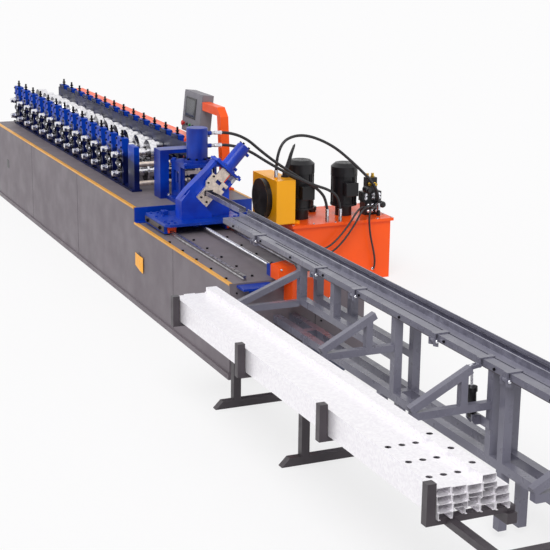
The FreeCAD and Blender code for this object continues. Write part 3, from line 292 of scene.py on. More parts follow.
# %% Masked finishes
def masked(name, paint, bare, dark, lows, highs):
    """Enamel with bare metal inside one box of space: the product of six steps, one for each side."""
    material, tree, shader, place, parts = start(name, 0.36, coat=0.08, ior=1.38)
    inside = None
    for axis in range(3):
        above = add(tree, "ShaderNodeMath", [(0, parts.outputs[axis]), (1, lows[axis])],
                    operation="GREATER_THAN")
        below = add(tree, "ShaderNodeMath", [(0, parts.outputs[axis]), (1, highs[axis])],
                    operation="LESS_THAN")
        slab = add(tree, "ShaderNodeMath", [(0, above.outputs[0]), (1, below.outputs[0])],
                   operation="MULTIPLY")
        inside = slab if inside is None else add(
            tree, "ShaderNodeMath", [(0, inside.outputs[0]), (1, slab.outputs[0])],
            operation="MULTIPLY")
    painted = blended(tree, grain(tree, place, 0.2), light(paint), light(dark))
    metal_tone = blended(tree, grain(tree, place, 0.03), light(bare), light("8d8a90"))
    tree.links.new(blended(tree, inside.outputs[0], painted, metal_tone), shader.inputs["Base Color"])
    tree.links.new(inside.outputs[0], shader.inputs["Metallic"])
    bumped(tree, shader, grain(tree, place, 0.004, detail=1.0), PEEL_DEPTH, 0.5)
    return material


PORT_TIP, PORT_LENGTH = 0.262, 0.056
press_paint = masked("press_blue_enamel", BLUE, "dcdce0", DEEP_BLUE,
                     (-1, PORT_TIP - PORT_LENGTH, 1.2), (1, 1, 1.4))
shear_paint = masked("shear_blue_enamel", "0040c4", "c8c8ce", "002a9c", (0, 0.2, 1.0), (1, 0.24, 1.05))
pump_paint = masked("pump_black_enamel", "111014", "d8d8dc", "1d1c20", (-0.12, 1.2, 0.5),
                    (0.05, 1.4, 0.7))

# %% [markdown]
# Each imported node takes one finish. Names that share a stem, such as the thirteen rolls, share it.

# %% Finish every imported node
finishes = {
    "base_cabinet": cabinet_paint, "roll_stands": stand_paint, "bearing_chocks": chock_steel,
    "adjusting_screws": black_oxide, "lower_roll": roll_chrome, "upper_roll": roll_chrome,
    "chain_guard": orange_paint, "strip_guides": tool_steel, "punch_press": press_paint,
    "punch_ram": tool_steel, "control_arm": orange_paint, "control_box": panel_paint,
    "linear_rails": rail_steel, "ball_screw": rail_steel, "drive_blocks": blue_paint,
    "drive_guard": orange_paint, "drive_motor": motor_paint, "sled": blue_paint,
    "shear_head": shear_paint, "die_plate": tool_steel, "shear_blade": tool_steel,
    "power_unit": orange_paint, "pump_set": pump_paint, "cooler": yellow_paint,
    "punch_hose": hose_rubber, "cooler_hose": hose_rubber, "table_frame": table_paint,
    "table_trough": table_paint, "tip_barrel": black_paint, "tip_rod": zinc_plate,
    "discharge_arms": table_paint, "rack_frame": rack_paint, "stud_stack": stud_zinc,
    "profile": strip_zinc_painted_reflection, "cut_stud": strip_zinc_painted_reflection,
}
for name, node in nodes.items():
    stem = max((key for key in finishes if name.startswith(key)), key=len)
    node.data.materials.clear()
    node.data.materials.append(finishes[stem])
print("finished", len(nodes), "nodes")

# %% [markdown]
# **New pieces** are surfaces worked out as arrays. A grid of points becomes a mesh of quads. Many
# equal small pieces, such as bolts, are one mesh whose points are repeated by whole arrays.


# %% Mesh helpers
def piece(name, points, faces, material, body, slot, smooth=True):
    """Mesh object from arrays of points and faces that rides on a body; its normals face outwards."""
    data = bpy.data.meshes.new(name)
    data.from_pydata([tuple(map(float, p)) for p in points], [], [tuple(map(int, f)) for f in faces])
    shell = bmesh.new()
    shell.from_mesh(data)
    bmesh.ops.remove_doubles(shell, verts=shell.verts, dist=1e-6)
    bmesh.ops.recalc_face_normals(shell, faces=shell.faces)
    shell.to_mesh(data)
    shell.free()
    data.materials.append(material)
    item = bpy.data.objects.new(name, data)
    scene.collection.objects.link(item)
    if smooth:
        data.shade_smooth()
        data.set_sharp_from_angle(angle=math.radians(35))
    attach(item, body)
    return item


def grid_faces(rows, columns, around=True, along=False):
    """Quads between neighbours of a grid, closed round the columns or along the rows."""
    row = np.arange(rows if along else rows - 1)
    column = np.arange(columns if around else columns - 1)
    a, b = np.meshgrid(row, column, indexing="ij")
    c, d = (a + 1) % rows, (b + 1) % columns
    return np.stack([a * columns + b, a * columns + d, c * columns + d, c * columns + b],
                    -1).reshape(-1, 4)


def spun(outline, sides=24):
    """Outline of (height, radius) pairs turned round Z: x = r cos t, y = r sin t."""
    outline = np.array(outline, float)
    t = np.arange(sides) * 2 * math.pi / sides
    x = outline[:, 1:2] * np.cos(t)
    y = outline[:, 1:2] * np.sin(t)
    z = np.repeat(outline[:, :1], sides, 1)
    return np.stack([x, y, z], -1).reshape(-1, 3), grid_faces(len(outline), sides)


def closed_ring(outline, sides):
    """Outline turned round Z whose last row is joined to its first, as for a sleeve."""
    points, faces = spun(outline, sides)
    return points, np.concatenate([faces, grid_faces(len(outline), sides, along=True)[-sides:]])


def facing_turn(way):
    """Rotation, as rows of an array, that takes Z to a direction."""
    return np.array(Vector((0, 0, 1)).rotation_difference(Vector(way)).to_matrix())


def repeated(shape, places):
    """Copies of one shape at (x, y, z, way) places, turned and moved for all copies at once."""
    points, faces = shape
    turns = np.array([facing_turn(way) for x, y, z, way in places])
    shifts = np.array([(x, y, z) for x, y, z, way in places])
    out = np.einsum("nij,pj->npi", turns, points) + shifts[:, None, :]
    steps = np.arange(len(places))[:, None, None] * len(points)
    return out.reshape(-1, 3), (faces[None] + steps).reshape(-1, 4)


def box_shape(low, high, ease=0.0):
    """Box between two corners with its long edges eased: an eight-cornered profile between ends."""
    (x0, y0, z0), (x1, y1, z1) = low, high
    e = max(ease, 1e-5)
    ring = np.array([(y0 + e, z0), (y1 - e, z0), (y1, z0 + e), (y1, z1 - e), (y1 - e, z1), (y0 + e, z1),
                     (y0, z1 - e), (y0, z0 + e)])
    middle = ring.mean(0)
    rows = [(x0, 0.0), (x0, 1 - e / max(y1 - y0, z1 - z0) * 2), (x0 + e, 1.0), (x1 - e, 1.0),
            (x1, 1 - e / max(y1 - y0, z1 - z0) * 2), (x1, 0.0)]
    points = [(x, *(middle + (corner - middle) * share)) for x, share in rows for corner in ring]
    return np.array(points), grid_faces(len(rows), 8)


def both(*shapes):
    """Several shapes as one list of points and faces."""
    points, faces, count = [], [], 0
    for p, f in shapes:
        points.append(p)
        faces.append(np.asarray(f) + count)
        count += len(p)
    return np.concatenate(points), np.concatenate(faces)


def bolt(size):
    """Hexagon bolt head on a washer, for a thread of the given size."""
    washer = spun([(0, 0), (0, size * 1.1), (size * 0.18, size * 1.1), (size * 0.18, 0)], 16)
    head = spun([(size * 0.18, 0), (size * 0.18, size * 0.95), (size * 0.72, size * 0.95),
                 (size * 0.82, size * 0.8), (size * 0.82, 0)], 6)
    return both(washer, head)


def cap_screw(size):
    """Socket cap screw: a round head with the hollow of its key."""
    return spun([(0, 0), (0, size * 0.8), (size * 0.75, size * 0.8), (size * 0.82, size * 0.72),
                 (size * 0.82, size * 0.42), (size * 0.4, size * 0.36), (size * 0.4, 0)], 12)


X, Y, Z, NEAR = (1, 0, 0), (0, 1, 0), (0, 0, 1), (0, -1, 0)

# %% [markdown]
# ** Cabinet.** Sheet panels close the welded base. A folded gold strip caps each long top edge, a
# yellow lifting lug is let into the near side, a hand slot near the entry is drawn as a dark patch
# of painted shade, and the step between the two decks is faced with blue plate.

# %% Cabinet trims, step plate and lifting lug
DECK, BED, NEAR_SIDE, FAR_SIDE = 0.784, 0.666, -0.470, 0.540
DECK_ENDS, BED_ENDS = (-4.748, -0.004), (0.006, 2.0)


def strip(y, outside, z, x0, x1):
    """Folded strip: a thin angle over the top edge of the cabinet, its section carried along X."""
    t, drop, lap = 0.0025, 0.012, 0.022
    outer, inner, back = y + outside * 0.0022, y - outside * 0.0002, y - outside * lap
    section = np.array([(outer, z - drop), (outer, z + t), (back, z + t), (back, z + 0.0003),
                        (inner, z + 0.0003), (inner, z - drop)])
    ends = [np.column_stack([np.full(6, x), section]) for x in (x0, x1)]
    caps = [end.mean(0)[None].repeat(6, 0) for end in ends]
    points = np.concatenate([caps[0], *ends, caps[1]])
    return points, grid_faces(4, 6)


trims = [strip(y, outside, z, *ends) for y, outside in ((NEAR_SIDE, -1), (FAR_SIDE, 1))
         for z, ends in ((DECK, DECK_ENDS), (BED, BED_ENDS))]
piece("edge_trims", *both(*trims), trim_paint, "machine", "painted_grey", smooth=False)

step_plate = box_shape((0.0003, NEAR_SIDE + 0.004, BED + 0.0003),
                       (0.008, FAR_SIDE - 0.004, DECK + 0.0002), 0.0015)
foot_plate = box_shape((0.008, NEAR_SIDE + 0.004, BED + 0.0003), (0.05, FAR_SIDE - 0.004, BED + 0.008),
                       0.0015)
piece("step_plate", *both(step_plate, foot_plate), blue_paint, "machine", "painted_blue", smooth=False)

# lifting lug: a plate bent outwards along a vertical fold, with a hand hole above it that is drawn
# as a dark patch of painted shade
fold = np.array([(0.02, 0.0), (0.16, 0.012), (0.235, 0.011), (0.235, 0.008), (0.16, 0.009), (0.02, 0.0)])
levels = [(0.326, 0.0), (0.326, 1.0), (0.366, 1.0), (0.43, 1.0), (0.43, 0.0)]
lug_rows = []
for z, share in levels:
    row = np.column_stack([fold[:, 0], NEAR_SIDE - fold[:, 1], np.full(len(fold), z)])
    row[:, 2] -= 0.1 * (fold[:, 0] - 0.02) * (z < 0.4)
    lug_rows.append(row if share else row.mean(0)[None].repeat(len(fold), 0))
piece("lifting_lug", np.concatenate(lug_rows), grid_faces(len(levels), len(fold)), yellow_paint,
      "machine", "cooler_yellow", smooth=False)
# the two hand slots are thin black boxes: painted shade where the openings are
slots = both(box_shape((-4.26, NEAR_SIDE - 0.002, 0.372), (-4.18, NEAR_SIDE + 0.001, 0.458), 0.0008),
             box_shape((0.11, NEAR_SIDE - 0.002, 0.436), (0.145, NEAR_SIDE + 0.001, 0.452), 0.0008))
piece("hand_slot_shades", *slots, black_plastic, "machine", "black_steel", smooth=False)

# %% [markdown]
# The cabinet sides are bolted sheet panels. Their joints show as fine dark lines, with rows of
# screws on the hidden sides, so the seams are thin raised cover strips.

# %% Panel seams and screws
seams = [box_shape((x - 0.0006, NEAR_SIDE - 0.0012, 0.045), (x + 0.0006, NEAR_SIDE + 0.0005, top),
                   0.0003)
         for x, top in ((-3.2, 0.77), (-1.6, 0.77), (0.9, 0.652))]
seams += [box_shape((x - 0.0006, FAR_SIDE - 0.0005, 0.045), (x + 0.0006, FAR_SIDE + 0.0012, top),
                    0.0003)
          for x, top in ((-3.2, 0.77), (-1.6, 0.77), (0.0, 0.652))]
seams.append(box_shape((2.0065, 0.162, 0.045), (2.0085, 0.166, 0.66), 0.0004))
piece("panel_seams", *both(*seams), black_plastic, "machine", "black_steel", smooth=False)
heads = [(x, FAR_SIDE, z, Y) for x in np.arange(-4.6, 1.9, 0.4) for z in (0.09, 0.6)]
heads += [(2.007, y, z, X) for y in (-0.42, 0.12, 0.21, 0.5) for z in (0.09, 0.34, 0.6)]
piece("panel_screws", *repeated(cap_screw(0.008), heads), black_oxide, "machine", "black_steel")

# %% [markdown]
# **Roll stands.** Each housing is closed by a keeper bar that holds the chocks in its window, with
# two screws through it; four cap screws hold the top block, and hexagon bolts hold the rail down.

# %% Stand details
STATION_COUNT = 13
STATIONS = FIRST_STATION + PITCH * np.arange(STATION_COUNT)
OUTER = 0.270
KEEPER_BACK, KEEPER_FRONT = OUTER + 0.0063, OUTER + 0.0163
keepers, keeper_screws, cap_screws, rail_bolts = [], [], [], []
for x in STATIONS:
    for side in (-1, 1):
        y0, y1 = sorted((side * KEEPER_BACK, side * KEEPER_FRONT))
        keepers.append(box_shape((x - 0.062, y0, 0.934), (x + 0.062, y1, 0.984), 0.002))
        way = (0, side, 0)
        keeper_screws += [(x + dx, side * KEEPER_FRONT, 0.959, way) for dx in (-0.048, 0.048)]
        cap_screws += [(x + dx, side * (OUTER + 0.007), z, way) for dx in (-0.062, 0.062)
                       for z in (1.108, 1.168)]
        rail_bolts += [(x + dx, side * 0.28, 0.8, Z) for dx in (-0.11, 0.11)]
piece("keeper_bars", *both(*keepers), chock_steel, "machine", "dark_steel", smooth=False)
piece("keeper_screws", *repeated(bolt(0.010), keeper_screws), zinc_plate, "machine", "bright_steel")
piece("cap_screws", *repeated(cap_screw(0.012), cap_screws), black_oxide, "machine", "black_steel")
piece("rail_bolts", *repeated(bolt(0.012), rail_bolts), black_oxide, "machine", "black_steel")
lock_nuts = [(x, side * 0.2475, 1.2065, Z) for x in STATIONS for side in (-1, 1)]
tops = spun([(0, 0), (0, 0.0155), (0.003, 0.017), (0.009, 0.017), (0.012, 0.0155), (0.012, 0)], 6)
piece("lock_nuts", *repeated(tops, lock_nuts), black_oxide, "machine", "black_steel")
print("stand screws", len(cap_screws) + len(keeper_screws) + len(rail_bolts))

# %% [markdown]
# **Shaft ends.** Each shaft ends in a turned cap with a shallow hollow for its centre. The caps
# ride on their own shafts, because they turn with them, and their places come from the stations.

# %% Shaft end caps
AXES = (("lower", 0.878), ("upper", 1.041))
SHAFT_END = 0.34
caps = spun([(0, 0), (0, 0.0245), (0.004, 0.0245), (0.006, 0.021), (0.006, 0.008), (0.002, 0.005),
             (0.002, 0)], 20)
cap_places = []
for index, x in enumerate(STATIONS, start=1):
    for kind, z in AXES:
        ends = [(x, side * SHAFT_END, z, (0, side, 0)) for side in (-1, 1)]
        cap_places += ends
        piece("%s_end_caps_%02d" % (kind, index), *repeated(caps, ends), zinc_plate,
              "%s_shaft_%02d" % (kind, index), "chromed_steel")

print("end caps", len(cap_places))

# %% [markdown]
# **Punching press.** Nuts clamp the top plate on its tie rods, screws ring the cylinder flange,
# and zinc fittings carry the two hoses.


# %% Press details
def ring_of(count, centre, radius, way, start_turn=0.0):
    """Places on a circle round Z: centre + radius (cos t, sin t)."""
    t = start_turn + np.arange(count) * 2 * math.pi / count
    return [(centre[0] + radius * c, centre[1] + radius * s, centre[2], way)
            for c, s in zip(np.cos(t), np.sin(t))]


PRESS_X, PRESS_Y = -0.07, 0.09
flange_screws = ring_of(8, (PRESS_X, PRESS_Y, 1.13), 0.098, Z, 0.39)
plate_nuts = [(PRESS_X + dx, PRESS_Y + dy, 1.105, Z) for dx in (-0.155, 0.125) for dy in (-0.14, 0.12)]
base_bolts = [(x, y, 0.814, Z) for x in (-0.235, -0.02) for y in (-0.092, 0.242)]
piece("flange_screws", *repeated(cap_screw(0.014), flange_screws), black_oxide, "machine",
      "black_steel")
piece("plate_nuts", *repeated(bolt(0.02), plate_nuts), blue_paint, "machine", "painted_blue")
piece("base_bolts", *repeated(bolt(0.014), base_bolts), zinc_plate, "machine", "bright_steel")


def fitting(size):
    """Hose fitting: a hexagon body and a round ferrule, one above the other."""
    body = spun([(0, 0), (0, size * 1.25), (size * 0.9, size * 1.25), (size, size * 1.1), (size, 0)], 6)
    ferrule = spun([(size, 0), (size, size * 0.98), (size * 2.6, size * 0.98), (size * 2.7, size * 0.9),
                    (size * 2.7, 0)], 20)
    return both(body, ferrule)


# %% [markdown]
# ** Shear carriage.** The flange is bolted to its cheeks, four tie bolts hold the cylinder cap,
# rail seals are orange plastic, and the near skirt of the sled is a bare grey block with two holes
# drawn as dark plugs of painted shade.

# %% Shear and sled details
TILT = math.radians(47)
AXIS = np.array([0.0, math.cos(TILT), math.sin(TILT)])
CROSS = np.array([0.0, -math.sin(TILT), math.cos(TILT)])


def on_shear(x, s, t):
    """Point at distance s along the shear axis and t across it, in metres."""
    return np.array([x, 0.020, 0.965]) + AXIS * s + CROSS * t


shear_bolts = [(*on_shear(x, 0.22, t), tuple(AXIS)) for x in (0.308, 0.412)
               for t in (-0.11, -0.045, 0.045, 0.11)]
tie_bolts = [(*on_shear(0.36 + dx, 0.4405, t), tuple(AXIS)) for dx in (-0.03, 0.03)
             for t in (-0.03, 0.03)]
piece("shear_flange_bolts", *repeated(bolt(0.014), shear_bolts), blue_paint, "carriage", "painted_blue")
piece("shear_tie_bolts", *repeated(cap_screw(0.012), tie_bolts), black_oxide, "carriage", "black_steel")
die_screws = [(0.42, *on_shear(0, s, t)[1:], X) for s, t in ((-0.09, -0.03), (-0.09, 0.03),
                                                             (0.03, 0.06), (0.095, 0.06))]
piece("die_screws", *repeated(cap_screw(0.010), die_screws), black_oxide, "carriage", "black_steel")
SLED_TOP, RAIL_LINES = 0.755, (-0.342, 0.14)
sled_bolts = [(x, y, SLED_TOP, Z) for x in (0.12, 0.25, 0.45, 0.52) for y in (-0.37, -0.315)]
sled_bolts += [(x, y, SLED_TOP, Z) for x in (0.12, 0.25, 0.46) for y in (0.2, 0.235)]
piece("sled_bolts", *repeated(bolt(0.012), sled_bolts), blue_paint, "carriage", "painted_blue")
SKIRT_Y = -0.4
skirt = box_shape((0.082, SKIRT_Y - 0.006, 0.690), (0.518, SKIRT_Y - 0.0002, 0.7345), 0.002)
piece("sled_skirt", *skirt, rack_paint, "carriage", "painted_grey", smooth=False)
# the two skirt holes are dark screw-shaped plugs: painted shade in the holes
piece("skirt_hole_shades", *repeated(cap_screw(0.018), [(x, SKIRT_Y - 0.006, 0.712, NEAR)
                                                  for x in (0.16, 0.44)]),
      black_oxide, "carriage", "black_steel")
seals = []
for y in RAIL_LINES:
    seals.append(box_shape((0.5203, y - 0.034, 0.7020), (0.534, y + 0.034, 0.733), 0.002))
    seals += [box_shape((0.5203, y + side - 0.008, 0.684), (0.534, y + side + 0.008, 0.7016), 0.002)
              for side in (-0.024, 0.024)]
piece("rail_seals", *both(*seals), seal_plastic, "carriage", "painted_orange", smooth=False)
clamps = [box_shape((0.15, -0.30, SLED_TOP + 0.0003), (0.21, -0.255, 0.785), 0.003),
          box_shape((0.09, -0.16, SLED_TOP + 0.0003), (0.27, -0.10, 0.772), 0.002)]
piece("sled_clamps", *both(*clamps), blue_paint, "carriage", "painted_blue", smooth=False)

# %% [markdown]
# **Ball screw.** Its round thread is one surface: the radius dips by the depth of the groove
# wherever the turn round the screw matches the distance along it.

# %% Ball screw thread and rail screws
LEAD, DEPTH, SCREW_Y, SCREW_Z = 0.020, 0.0022, -0.075, 0.704
THREAD_START, THREAD_END, SIDES = 0.0606, 1.8560, 20
along = np.arange(THREAD_START, THREAD_END, LEAD / 14)
around = np.arange(SIDES) * 2 * math.pi / SIDES
S, T = np.meshgrid(along, around, indexing="ij")
wave = np.cos(2 * math.pi * S / LEAD - T)
radius = 0.0139 - DEPTH * np.clip(wave, 0, None) ** 0.7
radius[0], radius[-1] = 0.0, 0.0
thread = np.stack([S, SCREW_Y + radius * np.cos(T), SCREW_Z + radius * np.sin(T)], -1).reshape(-1, 3)
journals = [spun([(0, 0), (0, 0.014), (length, 0.014), (length, 0)], 24) for length in (0.0206, 0.041)]
ends = both(repeated(journals[0], [(0.04, SCREW_Y, SCREW_Z, X)]),
            repeated(journals[1], [(THREAD_END, SCREW_Y, SCREW_Z, X)]))
screw = piece("screw_thread", *both((thread, grid_faces(len(along), SIDES)), ends), zinc_plate, "screw",
              "bright_steel")
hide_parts("ball_screw")
rail_screws = [(x, y, 0.7, Z) for x in np.arange(0.10, 1.94, 0.08) for y in RAIL_LINES]
flat_head = spun([(0, 0), (0, 0.0072), (0.0006, 0.0066), (0.0006, 0.0032), (0.0002, 0.003),
                  (0.0002, 0)], 12)
piece("rail_screws", *repeated(flat_head, rail_screws), black_oxide, "machine", "black_steel")
bed_bolts = [(x, y, BED, Z) for x in np.arange(0.75, 1.95, 0.28)
             for y in (-0.44, -0.25, 0.02, 0.25, 0.5)]
piece("bed_bolts", *repeated(cap_screw(0.012), bed_bolts), black_oxide, "machine", "black_steel")
bearing_bolts = [(x, y, 0.744, Z) for x in (0.032, 0.054, 1.9, 1.97) for y in (-0.125, -0.025)]
piece("bearing_bolts", *repeated(cap_screw(0.012), bearing_bolts), black_oxide, "machine",
      "black_steel")
print("screw points", len(thread))

# %% [markdown]
# **Control box.** The door carries a display in a black bezel, a red stop button and three small
# controls. The box leans back, so everything on it is placed in the door's own plane.

# %% Control box door
LOW_EDGE, HIGH_EDGE = np.array([0.430, 1.160]), np.array([0.467, 1.513])
rise = (HIGH_EDGE - LOW_EDGE) / np.linalg.norm(HIGH_EDGE - LOW_EDGE)
door_out = np.array([0.0, -rise[1], rise[0]])
CONTROL_ROW, DOOR_FRONT = 0.065, 0.005


def on_door(x, up_door, out=0.0):
    """Point of the door at X and a height up its slope, a little in front of it."""
    y, z = LOW_EDGE + rise * up_door
    return np.array([x, y, z]) + door_out * out


def control(x):
    """Place of a control in the row under the display, facing straight out of the door."""
    return (*on_door(x, CONTROL_ROW, DOOR_FRONT), tuple(door_out))


def door_plate(x0, x1, low, high, out0, out1, ease):
    """Flat plate on the door: an eased rectangle carried outwards, narrower at its front."""
    rings = []
    for out, inset in ((out0, 0.0), (out1 - ease, 0.0), (out1, ease)):
        rings.append([on_door(x0 + inset, low + inset, out), on_door(x1 - inset, low + inset, out),
                      on_door(x1 - inset, high - inset, out), on_door(x0 + inset, high - inset, out)])
    rings = [np.array(r) for r in rings]
    rings = [rings[0].mean(0)[None].repeat(4, 0)] + rings + [rings[-1].mean(0)[None].repeat(4, 0)]
    return np.concatenate(rings), grid_faces(5, 4)


door = door_plate(-1.342, -0.918, 0.010, 0.345, 0.0002, DOOR_FRONT, 0.002)
bezel = door_plate(-1.285, -1.035, 0.125, 0.305, DOOR_FRONT, 0.010, 0.003)
display = door_plate(-1.262, -1.058, 0.143, 0.287, 0.0100, 0.0108, 0.0004)
piece("box_door", *door, panel_paint, "machine", "painted_grey", smooth=False)
piece("display_bezel", *bezel, black_plastic, "machine", "black_steel", smooth=False)
piece("display_glass", *display, screen_glass, "machine", "black_steel", smooth=False)
mushroom = spun([(0, 0), (0, 0.014), (0.012, 0.014), (0.013, 0.021), (0.018, 0.023), (0.024, 0.020),
                 (0.027, 0.010), (0.028, 0)], 24)
knob = spun([(0, 0), (0, 0.014), (0.003, 0.014), (0.004, 0.011), (0.012, 0.010), (0.013, 0.008),
             (0.013, 0)], 20)
piece("stop_button", *repeated(mushroom, [control(-1.29)]), red_plastic, "machine", "painted_orange")
piece("black_knobs", *repeated(knob, [control(x) for x in (-1.215, -1.075)]), black_plastic,
      "machine", "black_steel")
piece("green_button", *repeated(knob, [control(-1.145)]), green_plastic, "machine", "black_steel")

# %% [markdown]
# ** Power unit.** Fan cowls cap the two motors, with their ring slots drawn as black rings of painted
# shade, a wire guard covers the cooler's fan, and the tank carries a level glass, a filler cap and a
# row of lid screws.

# %% Motor cowls, fan guard and tank fittings
MOTORS = ((-0.25, 1.088, 1.03, 0.084), (-0.25, 1.501, 0.98, 0.0805))
# the ring slots in the cowl tops are raised black rings: painted shade in the openings
vents = []
for x, y, top, r in MOTORS:
    for reach in (0.25, 0.45, 0.65, 0.85):
        vent = spun([(0, r * reach - 0.004), (0.002, r * reach - 0.003), (0.002, r * reach + 0.003),
                     (0, r * reach + 0.004)], 32)
        vents.append(repeated(vent, [(x, y, top - 0.0012, Z)]))
piece("cowl_slot_shades", *both(*vents), black_paint, "machine", "black_steel")

boxes = []
for x, y, r in ((-0.25, 1.088, 0.120), (-0.25, 1.501, 0.115)):
    boxes.append(box_shape((x + r + 0.0452, y - 0.058, 0.712), (x + r + 0.052, y + 0.058, 0.828),
                           0.003))
piece("terminal_lids", *both(*boxes), black_paint, "machine", "black_steel", smooth=False)

FAN, LID_TOP = (-0.25, 0.7145, 0.725), 0.525
WIRE = 0.0018
guard = []
for reach in np.linspace(0.03, 0.155, 8):
    t = np.arange(48) * 2 * math.pi / 48
    b = np.arange(6) * 2 * math.pi / 6
    P, Q = np.meshgrid(t, b, indexing="ij")
    rr = reach + WIRE * np.cos(Q)
    ring_points = np.stack([FAN[0] + rr * np.cos(P), FAN[1] + WIRE * np.sin(Q),
                            FAN[2] + rr * np.sin(P)], -1)
    guard.append((ring_points.reshape(-1, 3), grid_faces(48, 6, along=True)))
piece("fan_guard", *both(*guard), black_oxide, "machine", "black_steel")
shroud = closed_ring([(0, 0.1655), (0, 0.1672), (0.0498, 0.1672), (0.0498, 0.1655)], 48)
piece("fan_shroud", *repeated(shroud, [(FAN[0], 0.7152, FAN[2], Y)]), black_paint, "machine",
      "black_steel")
# a black disc fills the fan opening: the fan's own black blades, with painted shade in the gaps between
# them
disc = spun([(0, 0), (0, 0.1648), (0.0006, 0.1648), (0.0006, 0)], 48)
piece("fan_disc_and_gap_shade", *repeated(disc, [(FAN[0], 0.7149, FAN[2], NEAR)]), black_plastic, "machine",
      "black_steel")

glass = box_shape((0.0002, 0.98, 0.18), (0.012, 1.01, 0.42), 0.003)
piece("level_glass", *glass, screen_glass, "machine", "black_steel", smooth=False)
piece("level_screws", *repeated(bolt(0.012), [(0.0122, 0.995, z, X) for z in (0.2, 0.4)]),
      zinc_plate, "machine", "bright_steel")
filler = spun([(0, 0), (0, 0.035), (0.012, 0.035), (0.014, 0.042), (0.042, 0.042), (0.047, 0.036),
               (0.047, 0)], 28)
piece("filler_cap", *repeated(filler, [(-0.46, 1.30, LID_TOP + 0.0002, Z)]), black_plastic, "machine",
      "black_steel")
lid_bolts = [(x, y, LID_TOP, Z) for x in np.linspace(-0.6, 0.0, 5) for y in (0.915, 1.838)]
lid_bolts += [(x, y, LID_TOP, Z) for y in np.linspace(1.1, 1.7, 4) for x in (-0.605, 0.008)]
piece("lid_bolts", *repeated(bolt(0.01), lid_bolts), zinc_plate, "machine", "bright_steel")

# %% [markdown]
# The valve block on the tank lid is a stack of black castings with plated plugs and brass unions,
# and a tall tapered spout stands beside the first motor. Both are small, but they break up the
# skyline of the unit as in the photograph.

# %% Valves, unions and spout
plugs = [(-0.15, y, z, X) for y in (1.69, 1.73, 1.77) for z in (0.56, 0.61)]
plugs += [(-0.16, y, z, X) for y in (1.67, 1.74, 1.80) for z in (0.67, 0.70)]
piece("valve_plugs", *repeated(bolt(0.013), plugs), zinc_plate, "machine", "bright_steel")
unions = [(-0.17, y, 0.79, X) for y in (1.70, 1.755)] + [(-0.2, 1.70, 0.845, Z), (-0.2, 1.75, 0.845, Z)]
piece("brass_unions", *repeated(fitting(0.013), unions), brass, "machine", "bright_steel")
coils = spun([(0, 0), (0, 0.026), (0.002, 0.028), (0.07, 0.028), (0.075, 0.02), (0.09, 0.018),
              (0.092, 0)], 20)
piece("valve_coils", *repeated(coils, [(-0.16, y, z, X) for y, z in ((1.66, 0.755), (1.80, 0.62))]),
      black_plastic, "machine", "black_steel")
spout_line = np.array([(-0.155, 0.91, 0.96), (-0.155, 0.91, 0.96), (-0.15, 0.93, 1.02),
                       (-0.145, 0.95, 1.10), (-0.14, 0.975, 1.17), (-0.14, 0.985, 1.19)])
spout_radius = np.array([0.0, 0.022, 0.019, 0.015, 0.011, 0.0])
steps = np.arange(16) * 2 * math.pi / 16
rows = spout_line[:, None, :] + spout_radius[:, None, None] * np.stack(
    [np.cos(steps), np.sin(steps) * 0.9, np.sin(steps) * -0.3], -1)[None]
base = spun([(0, 0), (0, 0.035), (0.012, 0.035), (0.014, 0.026), (0.05, 0.022), (0.052, 0)], 20)
piece("filler_spout", *both((rows.reshape(-1, 3), grid_faces(len(rows), 16)),
                            repeated(base, [(-0.155, 0.905, 0.9103, Z)])), black_plastic, "machine",
      "black_steel")

# %% [markdown]
# **Run-out table.** Hinge pins get clipped heads, the near beam carries a row of small screws and
# a dark line where its lip is folded, and the drive guard is held by zinc screws.

# %% Table details
LUGS = (1.70, 2.66, 3.20, 4.15, 4.85, 5.60)
pin = spun([(0, 0), (0, 0.0095), (0.004, 0.0095), (0.006, 0.007), (0.006, 0)], 16)
pins = [(x + side * 0.034, -0.168, 0.870, (side, 0, 0)) for x in LUGS for side in (-1, 1)]
piece("pin_heads", *repeated(pin, pins), zinc_plate, "machine", "bright_steel")
beam_screws = [(x, -0.1553, 0.885, NEAR) for x in np.arange(1.3, 6.2, 0.49)]
piece("beam_screws", *repeated(cap_screw(0.01), beam_screws), black_oxide, "machine", "black_steel")
lip = box_shape((1.11, -0.1553, 0.8653), (6.24, -0.1548, 0.8690), 0.0001)
piece("beam_shadow_line", *lip, rack_paint, "machine", "table_grey", smooth=False)
guard_screws = [(2.147, y, z, X) for y, z in ((-0.16, 0.70), (-0.16, 0.77), (0.0, 0.68), (0.2, 0.68),
                                              (0.2, 0.54), (-0.06, 0.54))]
piece("guard_screws", *repeated(cap_screw(0.01), guard_screws), zinc_plate, "machine", "bright_steel")

# %% [markdown]
# **Hoses** are cords: one smooth curve each, whose control points are the route's points. A tube
# swept along arcs would be stiffer to look at. Two run from the punch cylinder to the tank, and one
# arches from the cooler to the valve block.


# %% Hoses
def hose(name, route, diameter=0.024, replaced=None):
    """Hose as a smooth curve through its route."""
    curve = bpy.data.curves.new(name, "CURVE")
    curve.dimensions = "3D"
    curve.bevel_depth = diameter / 2
    curve.bevel_resolution = 5
    curve.resolution_u = 16
    curve.use_fill_caps = True
    line = curve.splines.new("NURBS")
    line.points.add(len(route) - 1)
    for point, place in zip(line.points, route):
        point.co = (*place, 1.0)
    line.order_u = 3
    line.use_endpoint_u = True
    curve.materials.append(hose_rubber)
    item = bpy.data.objects.new(name, curve)
    scene.collection.objects.link(item)
    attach(item, "machine")
    if replaced:
        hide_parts(replaced)


